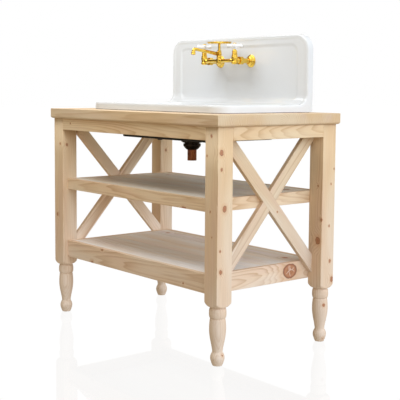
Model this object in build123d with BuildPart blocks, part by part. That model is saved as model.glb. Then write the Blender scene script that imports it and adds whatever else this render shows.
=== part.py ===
"""Farmhouse wash stand: a turned-leg pine stand with two slatted shelves and X-braced ends,
an enamelled cast-iron sink with a high back, a basket-strainer drain and a wall-type bridge
faucet with porcelain cross handles. Millimetres, +Z up, front towards -Y, origin on the
floor below the middle of the stand."""
import os
from math import atan, cos, degrees, radians, sin

from build123d import *

os.makedirs("parts", exist_ok=True)

# ---------------------------------------------------------------- driving dimensions
TOP_LENGTH = 1127.0
TOP_DEPTH = 623.0
TOP_THICK = 42.0
TOP_HEIGHT = 900.0
TOP_OVERHANG = 11.0

POST = 70.0
EASING = 1.5
TURNED_HEIGHT = 214.0
SHOULDER_HEIGHT = 34.0

APRON_HEIGHT = 49.0
FRONT_APRON_THICK = 24.0
SIDE_APRON_THICK = 51.0

LOWER_SHELF_BOTTOM = 252.0
LOWER_RAIL_HEIGHT = 72.0
UPPER_SHELF_BOTTOM = 550.0
UPPER_RAIL_HEIGHT = 47.0
SHELF_SETBACK = 24.0
RAIL_THICK = 19.0
BOARD_THICK = 18.0
BOARDS_PER_SHELF = 5
BOARD_GAP = 0.8
BOARD_DROP = 1.0
BOARD_EASING = 1.2
CLEAT = 20.0

BRACE_WIDTH = 49.0
BRACE_THICK = 19.0
BRACE_CENTRE_Z = 573.0
BRACE_SLOPE = 1.13

SINK_HALF = 433.0
SINK_FRONT = -192.0
SINK_BACK = 292.0
SINK_BASE = 902.0
RIM_TOP = 930.0
RIM_CORNER = 62.0
SPLASH_TOP = 1210.0
SPLASH_DEPTH = 30.0
SPLASH_CORNER = 65.0
IRON = 6.5
BASIN_HALF = 378.0
BASIN_FRONT = -145.0
BASIN_BACK = 225.0
BASIN_FLOOR = 797.0
BASIN_CORNER = 80.0
BASIN_TAPER = 14.0

DRAIN_Y = 30.0
DRAIN_HOLE_R = 41.0
TAILPIECE_R = 19.05
TAILPIECE_END = 693.0

FAUCET_Z = 1108.0
FAUCET_Y = 174.0
VALVE_X = 98.0
STEM_R = 4.5
RUNNING_GAP = 0.05
DISH_POST_R = 5.4

# ---------------------------------------------------------------- worked-out sizes
TOP_UNDER = TOP_HEIGHT - TOP_THICK
APRON_BOTTOM = TOP_UNDER - APRON_HEIGHT
FRAME_X = TOP_LENGTH / 2 - TOP_OVERHANG
FRAME_Y = TOP_DEPTH / 2 - TOP_OVERHANG
POST_IN_X = FRAME_X - POST
POST_IN_Y = FRAME_Y - POST
SHELF_Y = FRAME_Y - SHELF_SETBACK
SPLASH_FRONT = SINK_BACK - SPLASH_DEPTH
PANEL_FRONT = SPLASH_FRONT + 6
PANEL_BACK = PANEL_FRONT + IRON
SINK_MID_Y = (SINK_FRONT + SINK_BACK) / 2
BASIN_MID_Y = (BASIN_FRONT + BASIN_BACK) / 2
BASIN_UNDER = BASIN_FLOOR - IRON


def save(part, name):
    """Label a finished piece and write it as its own STEP file."""
    part.label = name
    export_step(part, f"parts/{name}.step")


def block(x0, x1, y0, y1, z0, z1):
    """A squared timber between two corners, its edges eased with sandpaper."""
    with BuildPart() as timber:
        with BuildSketch(Plane.XY.offset(z0)):
            with Locations(((x0 + x1) / 2, (y0 + y1) / 2)):
                Rectangle(x1 - x0, y1 - y0)
        extrude(amount=z1 - z0)
        fillet(timber.edges(), EASING)
    return timber.part


# ---------------------------------------------------------------- legs
# A square post whose foot is turned: ball foot, ankle, vase, bead groove, collar and neck,
# with a rounded shoulder where the square begins.
def make_leg(cx, cy):
    post_plane = Plane.XY.offset(TURNED_HEIGHT)
    turning_plane = Plane(origin=(cx, cy, 0), x_dir=(1, 0, 0), z_dir=(0, -1, 0))
    neck_r = 26.5
    with BuildPart() as leg:
        with BuildSketch(post_plane):
            with Locations((cx, cy)):
                Rectangle(POST, POST)
        extrude(amount=TOP_UNDER - TURNED_HEIGHT)
        chamfer(leg.edges().filter_by(Axis.Z), EASING)
        with BuildSketch(turning_plane):
            with BuildLine():
                Line((0, TURNED_HEIGHT), (neck_r, TURNED_HEIGHT))
                shoulder = TangentArc(
                    (neck_r, TURNED_HEIGHT), (52, TURNED_HEIGHT + SHOULDER_HEIGHT), tangent=(1, 0.25)
                )
                Line(shoulder @ 1, (52, TOP_UNDER))
                Line((52, TOP_UNDER), (0, TOP_UNDER))
                Line((0, TOP_UNDER), (0, TURNED_HEIGHT))
            make_face()
        revolve(axis=Axis((cx, cy, 0), (0, 0, 1)), mode=Mode.INTERSECT)
        with BuildSketch(turning_plane):
            with BuildLine():
                Line((0, 0), (18, 0))
                ball = Spline((18, 0), (26, 28), (19, 52))
                vase = Spline(ball @ 1, (30.5, 122), (28.5, 170))
                Line(vase @ 1, (27, 172.5))
                Line((27, 172.5), (29.5, 176))
                collar = ThreePointArc((29.5, 176), (31.5, 193), (29.5, 209))
                Line(collar @ 1, (neck_r, 211))
                Line((neck_r, 211), (neck_r, TURNED_HEIGHT))
                Line((neck_r, TURNED_HEIGHT), (0, TURNED_HEIGHT))
                Line((0, TURNED_HEIGHT), (0, 0))
            make_face()
        revolve(axis=Axis((cx, cy, 0), (0, 0, 1)))
    return leg.part


leg_x = FRAME_X - POST / 2
leg_y = FRAME_Y - POST / 2
for leg_name, side_x, side_y in (
    ("front_left_leg", -1, -1),
    ("front_right_leg", 1, -1),
    ("rear_left_leg", -1, 1),
    ("rear_right_leg", 1, 1),
):
    save(make_leg(side_x * leg_x, side_y * leg_y), leg_name)

# ---------------------------------------------------------------- countertop
# One glued slab with an ovolo under its edge and a cut-out that the basin hangs through.
CUTOUT_GAP = 14.0
with BuildPart() as countertop:
    with BuildSketch(Plane.XY.offset(TOP_UNDER)):
        Rectangle(TOP_LENGTH, TOP_DEPTH)
    extrude(amount=TOP_THICK)
    fillet(countertop.faces().sort_by(Axis.Z)[0].edges(), 9)
    fillet(countertop.edges().group_by(Axis.Z)[-1], EASING)
    with BuildSketch(Plane.XY.offset(TOP_UNDER)):
        with Locations((0, BASIN_MID_Y)):
            RectangleRounded(
                2 * (BASIN_HALF + CUTOUT_GAP),
                BASIN_BACK - BASIN_FRONT + 2 * CUTOUT_GAP,
                BASIN_CORNER,
            )
    extrude(amount=TOP_THICK, mode=Mode.SUBTRACT)
save(countertop.part, "countertop")

# ---------------------------------------------------------------- aprons and corner blocks
for apron_name, side in (("front_apron", -1), ("rear_apron", 1)):
    outer = side * FRAME_Y
    inner = side * (FRAME_Y - FRONT_APRON_THICK)
    save(
        block(-POST_IN_X, POST_IN_X, min(outer, inner), max(outer, inner), APRON_BOTTOM, TOP_UNDER),
        apron_name,
    )
for apron_name, side in (("left_apron", -1), ("right_apron", 1)):
    outer = side * FRAME_X
    inner = side * (FRAME_X - SIDE_APRON_THICK)
    save(
        block(min(outer, inner), max(outer, inner), -POST_IN_Y, POST_IN_Y, APRON_BOTTOM, TOP_UNDER),
        apron_name,
    )

BLOCK_SIZE = 38.0
block_x = POST_IN_X - BLOCK_SIZE / 2
block_y = FRAME_Y - FRONT_APRON_THICK - BLOCK_SIZE / 2
corners = [(sx * block_x, sy * block_y) for sx in (-1, 1) for sy in (-1, 1)]
with BuildPart() as corner_blocks:
    with BuildSketch(Plane.XY.offset(APRON_BOTTOM + 4)):
        with Locations(*corners):
            Rectangle(BLOCK_SIZE, BLOCK_SIZE)
    extrude(amount=APRON_HEIGHT - 4)
save(corner_blocks.part, "corner_blocks")

# One screw goes up through each corner block into the slab.
SCREW_R = 2.2
SCREW_HEAD_R = 4.5
with BuildPart() as top_screws:
    with BuildSketch(Plane.XY.offset(APRON_BOTTOM + 4)):
        with Locations(*corners):
            Circle(SCREW_R)
    extrude(amount=APRON_HEIGHT + 20)
    with BuildSketch(Plane.XY.offset(APRON_BOTTOM + 1)):
        with Locations(*corners):
            Circle(SCREW_HEAD_R)
    extrude(amount=3)
save(top_screws.part, "top_screws")


# ---------------------------------------------------------------- shelves
# Each shelf is a tray: four rails on edge between the posts' inner faces, boards let in
# between the rails just below their top edge, and a cleat along the front and the rear.
def make_shelf(prefix, z0, height):
    z1 = z0 + height
    inner_x = POST_IN_X - RAIL_THICK
    inner_y = SHELF_Y - RAIL_THICK
    save(block(-POST_IN_X, POST_IN_X, -SHELF_Y, -inner_y, z0, z1), f"{prefix}_front_rail")
    save(block(-POST_IN_X, POST_IN_X, inner_y, SHELF_Y, z0, z1), f"{prefix}_rear_rail")
    save(block(-POST_IN_X, -inner_x, -inner_y, inner_y, z0, z1), f"{prefix}_left_rail")
    save(block(inner_x, POST_IN_X, -inner_y, inner_y, z0, z1), f"{prefix}_right_rail")

    pitch = 2 * inner_y / BOARDS_PER_SHELF
    board_bottom = z1 - BOARD_DROP - BOARD_THICK
    with BuildPart() as boards:
        with BuildSketch(Plane.XY.offset(board_bottom)):
            with GridLocations(1, pitch, 1, BOARDS_PER_SHELF):
                Rectangle(2 * inner_x, pitch - BOARD_GAP)
        extrude(amount=BOARD_THICK)
        fillet(boards.edges().group_by(Axis.Z)[-1], BOARD_EASING)
    save(boards.part, f"{prefix}_shelf_boards")

    with BuildPart() as cleats:
        with BuildSketch(Plane.XY.offset(board_bottom - CLEAT)):
            with GridLocations(1, 2 * inner_y - CLEAT, 1, 2):
                Rectangle(2 * inner_x - CLEAT, CLEAT)
        extrude(amount=CLEAT)
    save(cleats.part, f"{prefix}_shelf_cleats")


make_shelf("lower", LOWER_SHELF_BOTTOM, LOWER_RAIL_HEIGHT)
make_shelf("upper", UPPER_SHELF_BOTTOM, UPPER_RAIL_HEIGHT)

# Two screws at each post go out through each side rail, low down where the boards hide them.
SHELF_SCREW_LENGTH = 55.0
with BuildPart() as shelf_screws:
    for side in (-1, 1):
        head_face = side * (POST_IN_X - RAIL_THICK)
        for shelf_z in (LOWER_SHELF_BOTTOM + 12, UPPER_SHELF_BOTTOM + 4.8):
            with BuildSketch(Plane.YZ.offset(head_face)):
                with Locations((0, shelf_z)):
                    with GridLocations(2 * POST_IN_Y + 14, 1, 2, 1):
                        Circle(SCREW_R)
            extrude(amount=side * SHELF_SCREW_LENGTH)
            with BuildSketch(Plane.YZ.offset(head_face - side * 2.5)):
                with Locations((0, shelf_z)):
                    with GridLocations(2 * POST_IN_Y + 14, 1, 2, 1):
                        Circle(SCREW_HEAD_R)
            extrude(amount=side * 2.5)
save(shelf_screws.part, "shelf_screws")


# ---------------------------------------------------------------- X-braces
# Each end has two half-lapped laths: the main one keeps its outer face unbroken and the
# other passes behind it. They stand on the shelf rails' faces and run up inside the apron.
def make_brace(side, lean, keep_outer_half):
    angle = degrees(atan(BRACE_SLOPE)) * lean
    inner_plane = Plane.YZ.offset(side * POST_IN_X)
    lap_start = side * (POST_IN_X + (0 if keep_outer_half else BRACE_THICK / 2))
    clear_height = TOP_UNDER - LOWER_SHELF_BOTTOM
    with BuildPart() as brace:
        with BuildSketch(inner_plane):
            with Locations((0, BRACE_CENTRE_Z)):
                Rectangle(1000, BRACE_WIDTH, rotation=angle)
            with Locations((0, LOWER_SHELF_BOTTOM + clear_height / 2)):
                Rectangle(2 * POST_IN_Y, clear_height, mode=Mode.INTERSECT)
        extrude(amount=side * BRACE_THICK)
        along_brace = Vector(0, 1, lean * BRACE_SLOPE)
        fillet(brace.edges().filter_by(Axis((0, 0, 0), along_brace)), EASING)
        with BuildSketch(Plane.YZ.offset(lap_start)):
            with Locations((0, BRACE_CENTRE_Z)):
                Rectangle(1000, BRACE_WIDTH, rotation=-angle)
        extrude(amount=side * BRACE_THICK / 2, mode=Mode.SUBTRACT)
    return brace.part


for side_name, side in (("left", -1), ("right", 1)):
    save(make_brace(side, -1, True), f"{side_name}_main_brace")
    save(make_brace(side, 1, False), f"{side_name}_lapped_brace")

# ---------------------------------------------------------------- sink
# A cast shell: rolled rim with a skirt, tapered basin, high back with a raised border round
# a sunk panel, a cove where the back rises from the rim, and two casting nubs underneath.
SINK_NUB_X = 82.0
SINK_NUB_Y = -75.0
SINK_NUB_R = 10.5
SINK_NUB_DROP = 11.0
COVE_R = 40.0
with BuildPart() as basin_space:
    with BuildSketch(Plane.XY.offset(RIM_TOP)):
        with Locations((0, BASIN_MID_Y)):
            RectangleRounded(2 * BASIN_HALF, BASIN_BACK - BASIN_FRONT, BASIN_CORNER)
    extrude(amount=-(RIM_TOP - BASIN_FLOOR), taper=BASIN_TAPER)
    fillet(basin_space.faces().sort_by(Axis.Z)[0].edges(), 28)

with BuildPart() as basin_shell:
    with BuildSketch(Plane.XY.offset(RIM_TOP - 2)):
        with Locations((0, BASIN_MID_Y)):
            RectangleRounded(
                2 * (BASIN_HALF + IRON),
                BASIN_BACK - BASIN_FRONT + 2 * IRON,
                BASIN_CORNER + IRON,
            )
    extrude(amount=-(RIM_TOP - 2 - BASIN_UNDER), taper=BASIN_TAPER)
    fillet(basin_shell.faces().sort_by(Axis.Z)[0].edges(), 34)

with BuildPart() as sink:
    with BuildSketch(Plane.XY.offset(SINK_BASE)) as rim_outline:
        with Locations((0, SINK_MID_Y)):
            Rectangle(2 * SINK_HALF, SINK_BACK - SINK_FRONT)
        fillet(rim_outline.vertices().group_by(Axis.Y)[0], RIM_CORNER)
    extrude(amount=RIM_TOP - SINK_BASE)
    fillet(sink.edges().group_by(Axis.Z)[-1], 11)
    with BuildSketch(Plane.XZ.offset(-SINK_BACK)) as splash_outline:
        with Locations((0, (SINK_BASE + SPLASH_TOP) / 2)):
            Rectangle(2 * SINK_HALF, SPLASH_TOP - SINK_BASE)
        fillet(splash_outline.vertices().group_by(Axis.Y)[-1], SPLASH_CORNER)
    extrude(amount=SPLASH_DEPTH)
    with BuildSketch(Plane.YZ.offset(-SINK_HALF + 12)):
        with BuildLine():
            Line((SPLASH_FRONT, RIM_TOP), (SPLASH_FRONT, RIM_TOP + COVE_R))
            RadiusArc((SPLASH_FRONT, RIM_TOP + COVE_R), (SPLASH_FRONT - COVE_R, RIM_TOP), COVE_R)
            Line((SPLASH_FRONT - COVE_R, RIM_TOP), (SPLASH_FRONT, RIM_TOP))
        make_face()
    extrude(amount=2 * SINK_HALF - 24)
    # the hollow under the rolled rim and behind the back
    with BuildSketch(Plane.XY.offset(SINK_BASE)) as skirt_inside:
        with Locations((0, SINK_MID_Y - IRON)):
            Rectangle(2 * (SINK_HALF - IRON), SINK_BACK - SINK_FRONT)
        fillet(skirt_inside.vertices().group_by(Axis.Y)[0], RIM_CORNER - IRON)
        with Locations((0, PANEL_BACK + 50)):
            Rectangle(2 * SINK_HALF, 100, mode=Mode.SUBTRACT)
        with Locations((0, SINK_FRONT - 50 + IRON)):
            Rectangle(2 * SINK_HALF, 100, mode=Mode.SUBTRACT)
    extrude(amount=RIM_TOP - IRON - SINK_BASE, mode=Mode.SUBTRACT)
    with BuildSketch(Plane.XZ.offset(-SINK_BACK)) as back_hollow:
        with Locations((0, (SINK_BASE + SPLASH_TOP) / 2 - IRON)):
            Rectangle(2 * (SINK_HALF - IRON), SPLASH_TOP - SINK_BASE)
        fillet(back_hollow.vertices().group_by(Axis.Y)[-1], SPLASH_CORNER - IRON)
    extrude(amount=SINK_BACK - PANEL_BACK, mode=Mode.SUBTRACT)
    with BuildSketch(Plane.XZ.offset(-SPLASH_FRONT)):
        with Locations((0, 1077)):
            RectangleRounded(2 * (SINK_HALF - 50), 206, 45)
    extrude(amount=-(PANEL_FRONT - SPLASH_FRONT), mode=Mode.SUBTRACT)
    add(basin_shell.part)
    add(basin_space.part, mode=Mode.SUBTRACT)
    with BuildSketch(Plane.XY.offset(BASIN_UNDER - SINK_NUB_DROP)):
        with Locations((-SINK_NUB_X, SINK_NUB_Y), (SINK_NUB_X, SINK_NUB_Y)):
            Circle(SINK_NUB_R)
    extrude(amount=SINK_NUB_DROP + IRON / 2)
    with BuildSketch(Plane.XY.offset(BASIN_FLOOR)):
        with Locations((0, DRAIN_Y)):
            Circle(DRAIN_HOLE_R)
    extrude(amount=-2 * IRON, mode=Mode.SUBTRACT)
    with BuildSketch(Plane.XZ.offset(-PANEL_BACK - 2)):
        with Locations((-VALVE_X, FAUCET_Z), (VALVE_X, FAUCET_Z)):
            Circle(12)
    extrude(amount=2 * IRON, mode=Mode.SUBTRACT)
save(sink.part, "sink")

# A bead of sealant beds the rim's skirt on the slab.
with BuildPart() as rim_sealant:
    with BuildSketch(Plane.XY.offset(TOP_HEIGHT)) as bead:
        with Locations((0, (SINK_FRONT + PANEL_BACK) / 2)):
            Rectangle(2 * SINK_HALF - 2, PANEL_BACK - SINK_FRONT - 2)
        fillet(bead.vertices().group_by(Axis.Y)[0], RIM_CORNER - 1)
        with Locations((0, (SINK_FRONT + PANEL_BACK) / 2)):
            RectangleRounded(
                2 * SINK_HALF - 2 * IRON, PANEL_BACK - SINK_FRONT - 2 * IRON, 50, mode=Mode.SUBTRACT
            )
    extrude(amount=SINK_BASE - TOP_HEIGHT)
save(rim_sealant.part, "rim_sealant")


# ---------------------------------------------------------------- drain
# Basket strainer: flanged cup through the basin floor, rubber washer and locknut below,
# a coupling nut that holds the flanged tailpiece, and a basket that lifts out by its knob.
def turned(points, y=DRAIN_Y, x=0.0):
    """A piece turned about the vertical line through (x, y), from its (radius, z) outline."""
    with BuildPart() as piece:
        with BuildSketch(Plane(origin=(x, y, 0), x_dir=(1, 0, 0), z_dir=(0, -1, 0))):
            with BuildLine():
                Polyline(*points, close=True)
            make_face()
        revolve(axis=Axis((x, y, 0), (0, 0, 1)))
    return piece


CUP_R = 40.0
CUP_FLOOR = 769.0
SPIGOT_END = 750.0
SPIGOT_R = 30.0
OUTLET_R = 17.0
drain_body = turned(
    [
        (57, BASIN_FLOOR),
        (55, BASIN_FLOOR + 2.5),
        (CUP_R - 1, BASIN_FLOOR + 2),
        (CUP_R - 2, CUP_FLOOR + 3),
        (OUTLET_R, CUP_FLOOR),
        (OUTLET_R, SPIGOT_END),
        (SPIGOT_R, SPIGOT_END),
        (SPIGOT_R, CUP_FLOOR - 3),
        (CUP_R, CUP_FLOOR - 1),
        (CUP_R, BASIN_FLOOR),
    ]
)
save(drain_body.part, "drain_body")

WASHER_THICK = 4.0
drain_washer = turned(
    [
        (CUP_R + 0.3, BASIN_UNDER - WASHER_THICK),
        (47, BASIN_UNDER - WASHER_THICK),
        (47, BASIN_UNDER),
        (CUP_R + 0.3, BASIN_UNDER),
    ]
)
save(drain_washer.part, "drain_washer")

LOCKNUT_TOP = BASIN_UNDER - WASHER_THICK
drain_locknut = turned(
    [
        (CUP_R + 0.1, LOCKNUT_TOP),
        (47, LOCKNUT_TOP),
        (47, LOCKNUT_TOP - 11),
        (45, LOCKNUT_TOP - 15),
        (42, LOCKNUT_TOP - 17),
        (CUP_R + 0.1, LOCKNUT_TOP - 17),
    ]
)
save(drain_locknut.part, "drain_locknut")

# The tailpiece hangs by its flange inside the coupling nut; its free end takes a trap.
TAILPIECE_WALL = 1.3
TAILPIECE_NECK_R = TAILPIECE_R - 0.6
NUT_END = 738.0
FLANGE_R = 29.0
FLANGE_TOP = SPIGOT_END - 1.5
tailpiece = turned(
    [
        (TAILPIECE_R - TAILPIECE_WALL, TAILPIECE_END),
        (TAILPIECE_R, TAILPIECE_END),
        (TAILPIECE_R, NUT_END - 1),
        (TAILPIECE_NECK_R, NUT_END - 1),
        (TAILPIECE_NECK_R, FLANGE_TOP - 3),
        (FLANGE_R, FLANGE_TOP - 3),
        (FLANGE_R, FLANGE_TOP),
        (TAILPIECE_R - TAILPIECE_WALL, FLANGE_TOP),
    ]
)
save(tailpiece.part, "tailpiece")

tailpiece_washer = turned(
    [
        (OUTLET_R + 0.5, FLANGE_TOP),
        (FLANGE_R, FLANGE_TOP),
        (FLANGE_R, SPIGOT_END),
        (OUTLET_R + 0.5, SPIGOT_END),
    ]
)
save(tailpiece_washer.part, "tailpiece_washer")

coupling_nut = turned(
    [
        (TAILPIECE_R + 0.3, NUT_END),
        (24, NUT_END),
        (29, 743),
        (34, 749),
        (36.5, 755),
        (37, 760),
        (35.5, 764),
        (SPIGOT_R + 0.2, 764),
        (SPIGOT_R + 0.2, FLANGE_TOP - 3.2),
        (TAILPIECE_R + 0.3, FLANGE_TOP - 3.2),
    ]
)
save(coupling_nut.part, "coupling_nut")

BASKET_R = 35.5
BASKET_FLOOR = 775.0
BASKET_TOP = 797.0
BASKET_WALL = 1.5
HOLE_RINGS = ((12, 6), (20, 10), (28, 14))
with BuildPart() as strainer_basket:
    with BuildSketch(Plane(origin=(0, DRAIN_Y, 0), x_dir=(1, 0, 0), z_dir=(0, -1, 0))):
        with BuildLine():
            Polyline(
                (0, BASKET_FLOOR),
                (BASKET_R - 4, BASKET_FLOOR),
                (BASKET_R, BASKET_FLOOR + 4),
                (BASKET_R, BASKET_TOP),
                (BASKET_R - BASKET_WALL, BASKET_TOP),
                (BASKET_R - BASKET_WALL, BASKET_FLOOR + 5),
                (BASKET_R - 5, BASKET_FLOOR + BASKET_WALL),
                (0, BASKET_FLOOR + BASKET_WALL),
                close=True,
            )
        make_face()
    revolve(axis=Axis((0, DRAIN_Y, 0), (0, 0, 1)))
    with BuildSketch(Plane.XY.offset(BASKET_FLOOR)):
        with Locations((0, DRAIN_Y)):
            for ring_r, ring_count in HOLE_RINGS:
                with PolarLocations(ring_r, ring_count):
                    Circle(2)
    extrude(amount=BASKET_WALL, mode=Mode.SUBTRACT)
save(strainer_basket.part, "strainer_basket")

basket_knob = turned(
    [
        (0, BASKET_FLOOR + BASKET_WALL),
        (3, BASKET_FLOOR + BASKET_WALL),
        (3, 802),
        (9, 805),
        (9, 810),
        (6, 813),
        (0, 813),
    ]
)
save(basket_knob.part, "basket_knob")

STOPPER_BOTTOM = CUP_FLOOR + 0.9
basket_stopper = turned(
    [(0, STOPPER_BOTTOM), (21, STOPPER_BOTTOM), (24, 773), (24, BASKET_FLOOR), (0, BASKET_FLOOR)]
)
save(basket_stopper.part, "basket_stopper")


# ---------------------------------------------------------------- faucet
# Two inlets through the back join a bridge with a valve at each end; the spout swings on a
# post at the middle of the bridge, and the post carries the soap dish.
def turned_along_y(points, x):
    """A piece turned about the inlet axis at x, from its (radius, y) outline."""
    with BuildPart() as piece:
        with BuildSketch(Plane(origin=(x, 0, FAUCET_Z), x_dir=(1, 0, 0), z_dir=(0, 0, 1))):
            with BuildLine():
                Polyline(*points, close=True)
            make_face()
        revolve(axis=Axis((x, 0, FAUCET_Z), (0, 1, 0)))
    return piece


VALVE_R = 13.5
VALVE_TOP = FAUCET_Z + 16
BRIDGE_R = 8.0
INLET_END = FAUCET_Y + 30
NIPPLE_R = 10.3
NIPPLE_BORE_R = 7.0
BACK_NUT_THICK = 7.0
NIPPLE_STEP = PANEL_BACK + BACK_NUT_THICK + 1
NIPPLE_END = 311.0
THREAD_R = 10.48
with BuildPart() as faucet_body:
    with BuildSketch(Plane.YZ.offset(-VALVE_X)):
        with Locations((FAUCET_Y, FAUCET_Z)):
            Circle(BRIDGE_R)
    extrude(amount=2 * VALVE_X)
    with BuildSketch(Plane.XY.offset(FAUCET_Z - 16)):
        with Locations((-VALVE_X, FAUCET_Y), (VALVE_X, FAUCET_Y)):
            Circle(VALVE_R)
        with Locations((0, FAUCET_Y)):
            Circle(12.5)
    extrude(amount=VALVE_TOP - FAUCET_Z + 12)
    fillet(faucet_body.faces().sort_by(Axis.Z)[0].edges(), 5)
    with BuildSketch(Plane.XY.offset(VALVE_TOP - 6)):
        with Locations((-VALVE_X, FAUCET_Y), (VALVE_X, FAUCET_Y)):
            Circle(VALVE_R)
    extrude(amount=6)
    with BuildSketch(Plane.XZ.offset(-INLET_END)):
        with Locations((-VALVE_X, FAUCET_Z), (VALVE_X, FAUCET_Z)):
            Circle(11)
    extrude(amount=INLET_END - FAUCET_Y)
    with BuildSketch(Plane.XY.offset(VALVE_TOP)):
        with Locations((-VALVE_X, FAUCET_Y), (VALVE_X, FAUCET_Y)):
            Circle(9)
    extrude(amount=-18, mode=Mode.SUBTRACT)
    with BuildSketch(Plane.XY.offset(VALVE_TOP)):
        with Locations((0, FAUCET_Y)):
            Circle(DISH_POST_R)
    extrude(amount=-22, mode=Mode.SUBTRACT)
save(faucet_body.part, "faucet_body")

BONNET_TOP = 1153.0
HANDLE_Z = 1168.0
ARM_R = 6.5
LOBE_R = 9.0
LOBE_START = 15.0
LOBE_REACH = 25.0
HANDLE_REACH = 34.0
for side_name, side in (("left", -1), ("right", 1)):
    valve_x = side * VALVE_X
    flange = turned_along_y(
        [
            (NIPPLE_R + 0.3, PANEL_FRONT),
            (27, PANEL_FRONT),
            (27, PANEL_FRONT - 4),
            (21, PANEL_FRONT - 8),
            (20, PANEL_FRONT - 13),
            (15, PANEL_FRONT - 18),
            (NIPPLE_R + 0.3, PANEL_FRONT - 18),
        ],
        valve_x,
    )
    save(flange.part, f"{side_name}_wall_flange")

    nipple = turned_along_y(
        [
            (NIPPLE_BORE_R, INLET_END),
            (NIPPLE_R, INLET_END),
            (NIPPLE_R, NIPPLE_STEP),
            (THREAD_R, NIPPLE_STEP),
            (THREAD_R, NIPPLE_END),
            (NIPPLE_BORE_R, NIPPLE_END),
        ],
        valve_x,
    )
    save(nipple.part, f"{side_name}_supply_nipple")

    with BuildPart() as union_nut:
        with BuildSketch(Plane.XZ.offset(-INLET_END - 16)):
            with Locations((valve_x, FAUCET_Z)):
                RegularPolygon(18, 6)
                Circle(NIPPLE_R, mode=Mode.SUBTRACT)
        extrude(amount=16)
        with BuildSketch(Plane.XZ.offset(-INLET_END)):
            with Locations((valve_x, FAUCET_Z)):
                RegularPolygon(18, 6)
                Circle(11, mode=Mode.SUBTRACT)
        extrude(amount=6)
    save(union_nut.part, f"{side_name}_union_nut")

    with BuildPart() as back_nut:
        with BuildSketch(Plane.XZ.offset(-PANEL_BACK - BACK_NUT_THICK)):
            with Locations((valve_x, FAUCET_Z)):
                RegularPolygon(19, 6)
                Circle(NIPPLE_R, mode=Mode.SUBTRACT)
        extrude(amount=BACK_NUT_THICK)
    save(back_nut.part, f"{side_name}_back_nut")

    bonnet = turned(
        [
            (STEM_R + RUNNING_GAP, VALVE_TOP - 17),
            (9, VALVE_TOP - 17),
            (9, VALVE_TOP),
            (12.5, VALVE_TOP),
            (12.5, VALVE_TOP + 7),
            (10, VALVE_TOP + 9),
            (10, BONNET_TOP - 5),
            (8, BONNET_TOP),
            (STEM_R + RUNNING_GAP, BONNET_TOP),
        ],
        FAUCET_Y,
        valve_x,
    )
    save(bonnet.part, f"{side_name}_bonnet")

    stem = turned(
        [(0, VALVE_TOP - 15), (STEM_R, VALVE_TOP - 15), (STEM_R, HANDLE_Z + 8), (0, HANDLE_Z + 8)],
        FAUCET_Y,
        valve_x,
    )
    save(stem.part, f"{side_name}_stem")

    with BuildPart() as handle:
        with BuildSketch(Plane(origin=(valve_x, FAUCET_Y, 0), x_dir=(1, 0, 0), z_dir=(0, -1, 0))):
            with BuildLine():
                Polyline(
                    (STEM_R, BONNET_TOP + 1),
                    (11, BONNET_TOP + 1),
                    (13, HANDLE_Z - 6),
                    (13, HANDLE_Z + 6),
                    (10, HANDLE_Z + 9),
                    (STEM_R, HANDLE_Z + 9),
                    close=True,
                )
            make_face()
        revolve(axis=Axis((valve_x, FAUCET_Y, 0), (0, 0, 1)))
        for turn in range(4):
            arm_angle = radians(45 + 90 * turn)
            reach = Vector(cos(arm_angle), sin(arm_angle), 0)
            centre = Vector(valve_x, FAUCET_Y, HANDLE_Z)
            with BuildSketch(Plane(origin=centre, x_dir=reach, z_dir=reach.cross(Vector(0, 0, 1)))):
                with BuildLine():
                    Line((9, 0), (9, ARM_R))
                    Line((9, ARM_R), (LOBE_START, ARM_R))
                    Spline(
                        (LOBE_START, ARM_R),
                        (LOBE_REACH, LOBE_R),
                        (HANDLE_REACH, 0),
                        tangents=((1, 0), (0, -1)),
                    )
                    Line((HANDLE_REACH, 0), (9, 0))
                make_face()
            revolve(axis=Axis(centre, reach))
    save(handle.part, f"{side_name}_handle")

    cap = turned(
        [
            (0, HANDLE_Z + 9),
            (8.5, HANDLE_Z + 9),
            (8.5, HANDLE_Z + 11),
            (5, HANDLE_Z + 13),
            (0, HANDLE_Z + 13.5),
        ],
        FAUCET_Y,
        valve_x,
    )
    save(cap.part, f"{side_name}_handle_cap")

HUB_R = 11.5
HUB_BOTTOM = FAUCET_Z + 12.3
HUB_TOP = 1148.0
SPOUT_R = 7.5
with BuildPart() as spout:
    with BuildSketch(Plane.XY.offset(HUB_BOTTOM)):
        with Locations((0, FAUCET_Y)):
            Circle(HUB_R)
    extrude(amount=HUB_TOP - HUB_BOTTOM)
    fillet(spout.faces().sort_by(Axis.Z)[-1].edges(), 4)
    with BuildLine(Plane.YZ) as spout_path:
        FilletPolyline((FAUCET_Y - 2, 1136), (40, 1154), (33, 1133), radius=9)
    with BuildSketch(Plane(origin=spout_path.line @ 0, z_dir=spout_path.line % 0)):
        Circle(SPOUT_R)
    sweep(path=spout_path.line)
    with BuildSketch(Plane.XY.offset(HUB_BOTTOM)):
        with Locations((0, FAUCET_Y)):
            Circle(DISH_POST_R + RUNNING_GAP)
    extrude(amount=HUB_TOP - HUB_BOTTOM, mode=Mode.SUBTRACT)
save(spout.part, "spout")

outlet_top = spout_path.line @ 1
outlet_dir = spout_path.line % 1
with BuildPart() as outlet_ring:
    with BuildSketch(Plane(origin=outlet_top - outlet_dir * 9, z_dir=outlet_dir)):
        Circle(9.5)
        Circle(SPOUT_R, mode=Mode.SUBTRACT)
    extrude(amount=9)
    with BuildSketch(Plane(origin=outlet_top, z_dir=outlet_dir)):
        Circle(9.5)
        Circle(6, mode=Mode.SUBTRACT)
    extrude(amount=3)
save(outlet_ring.part, "outlet_ring")

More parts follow.
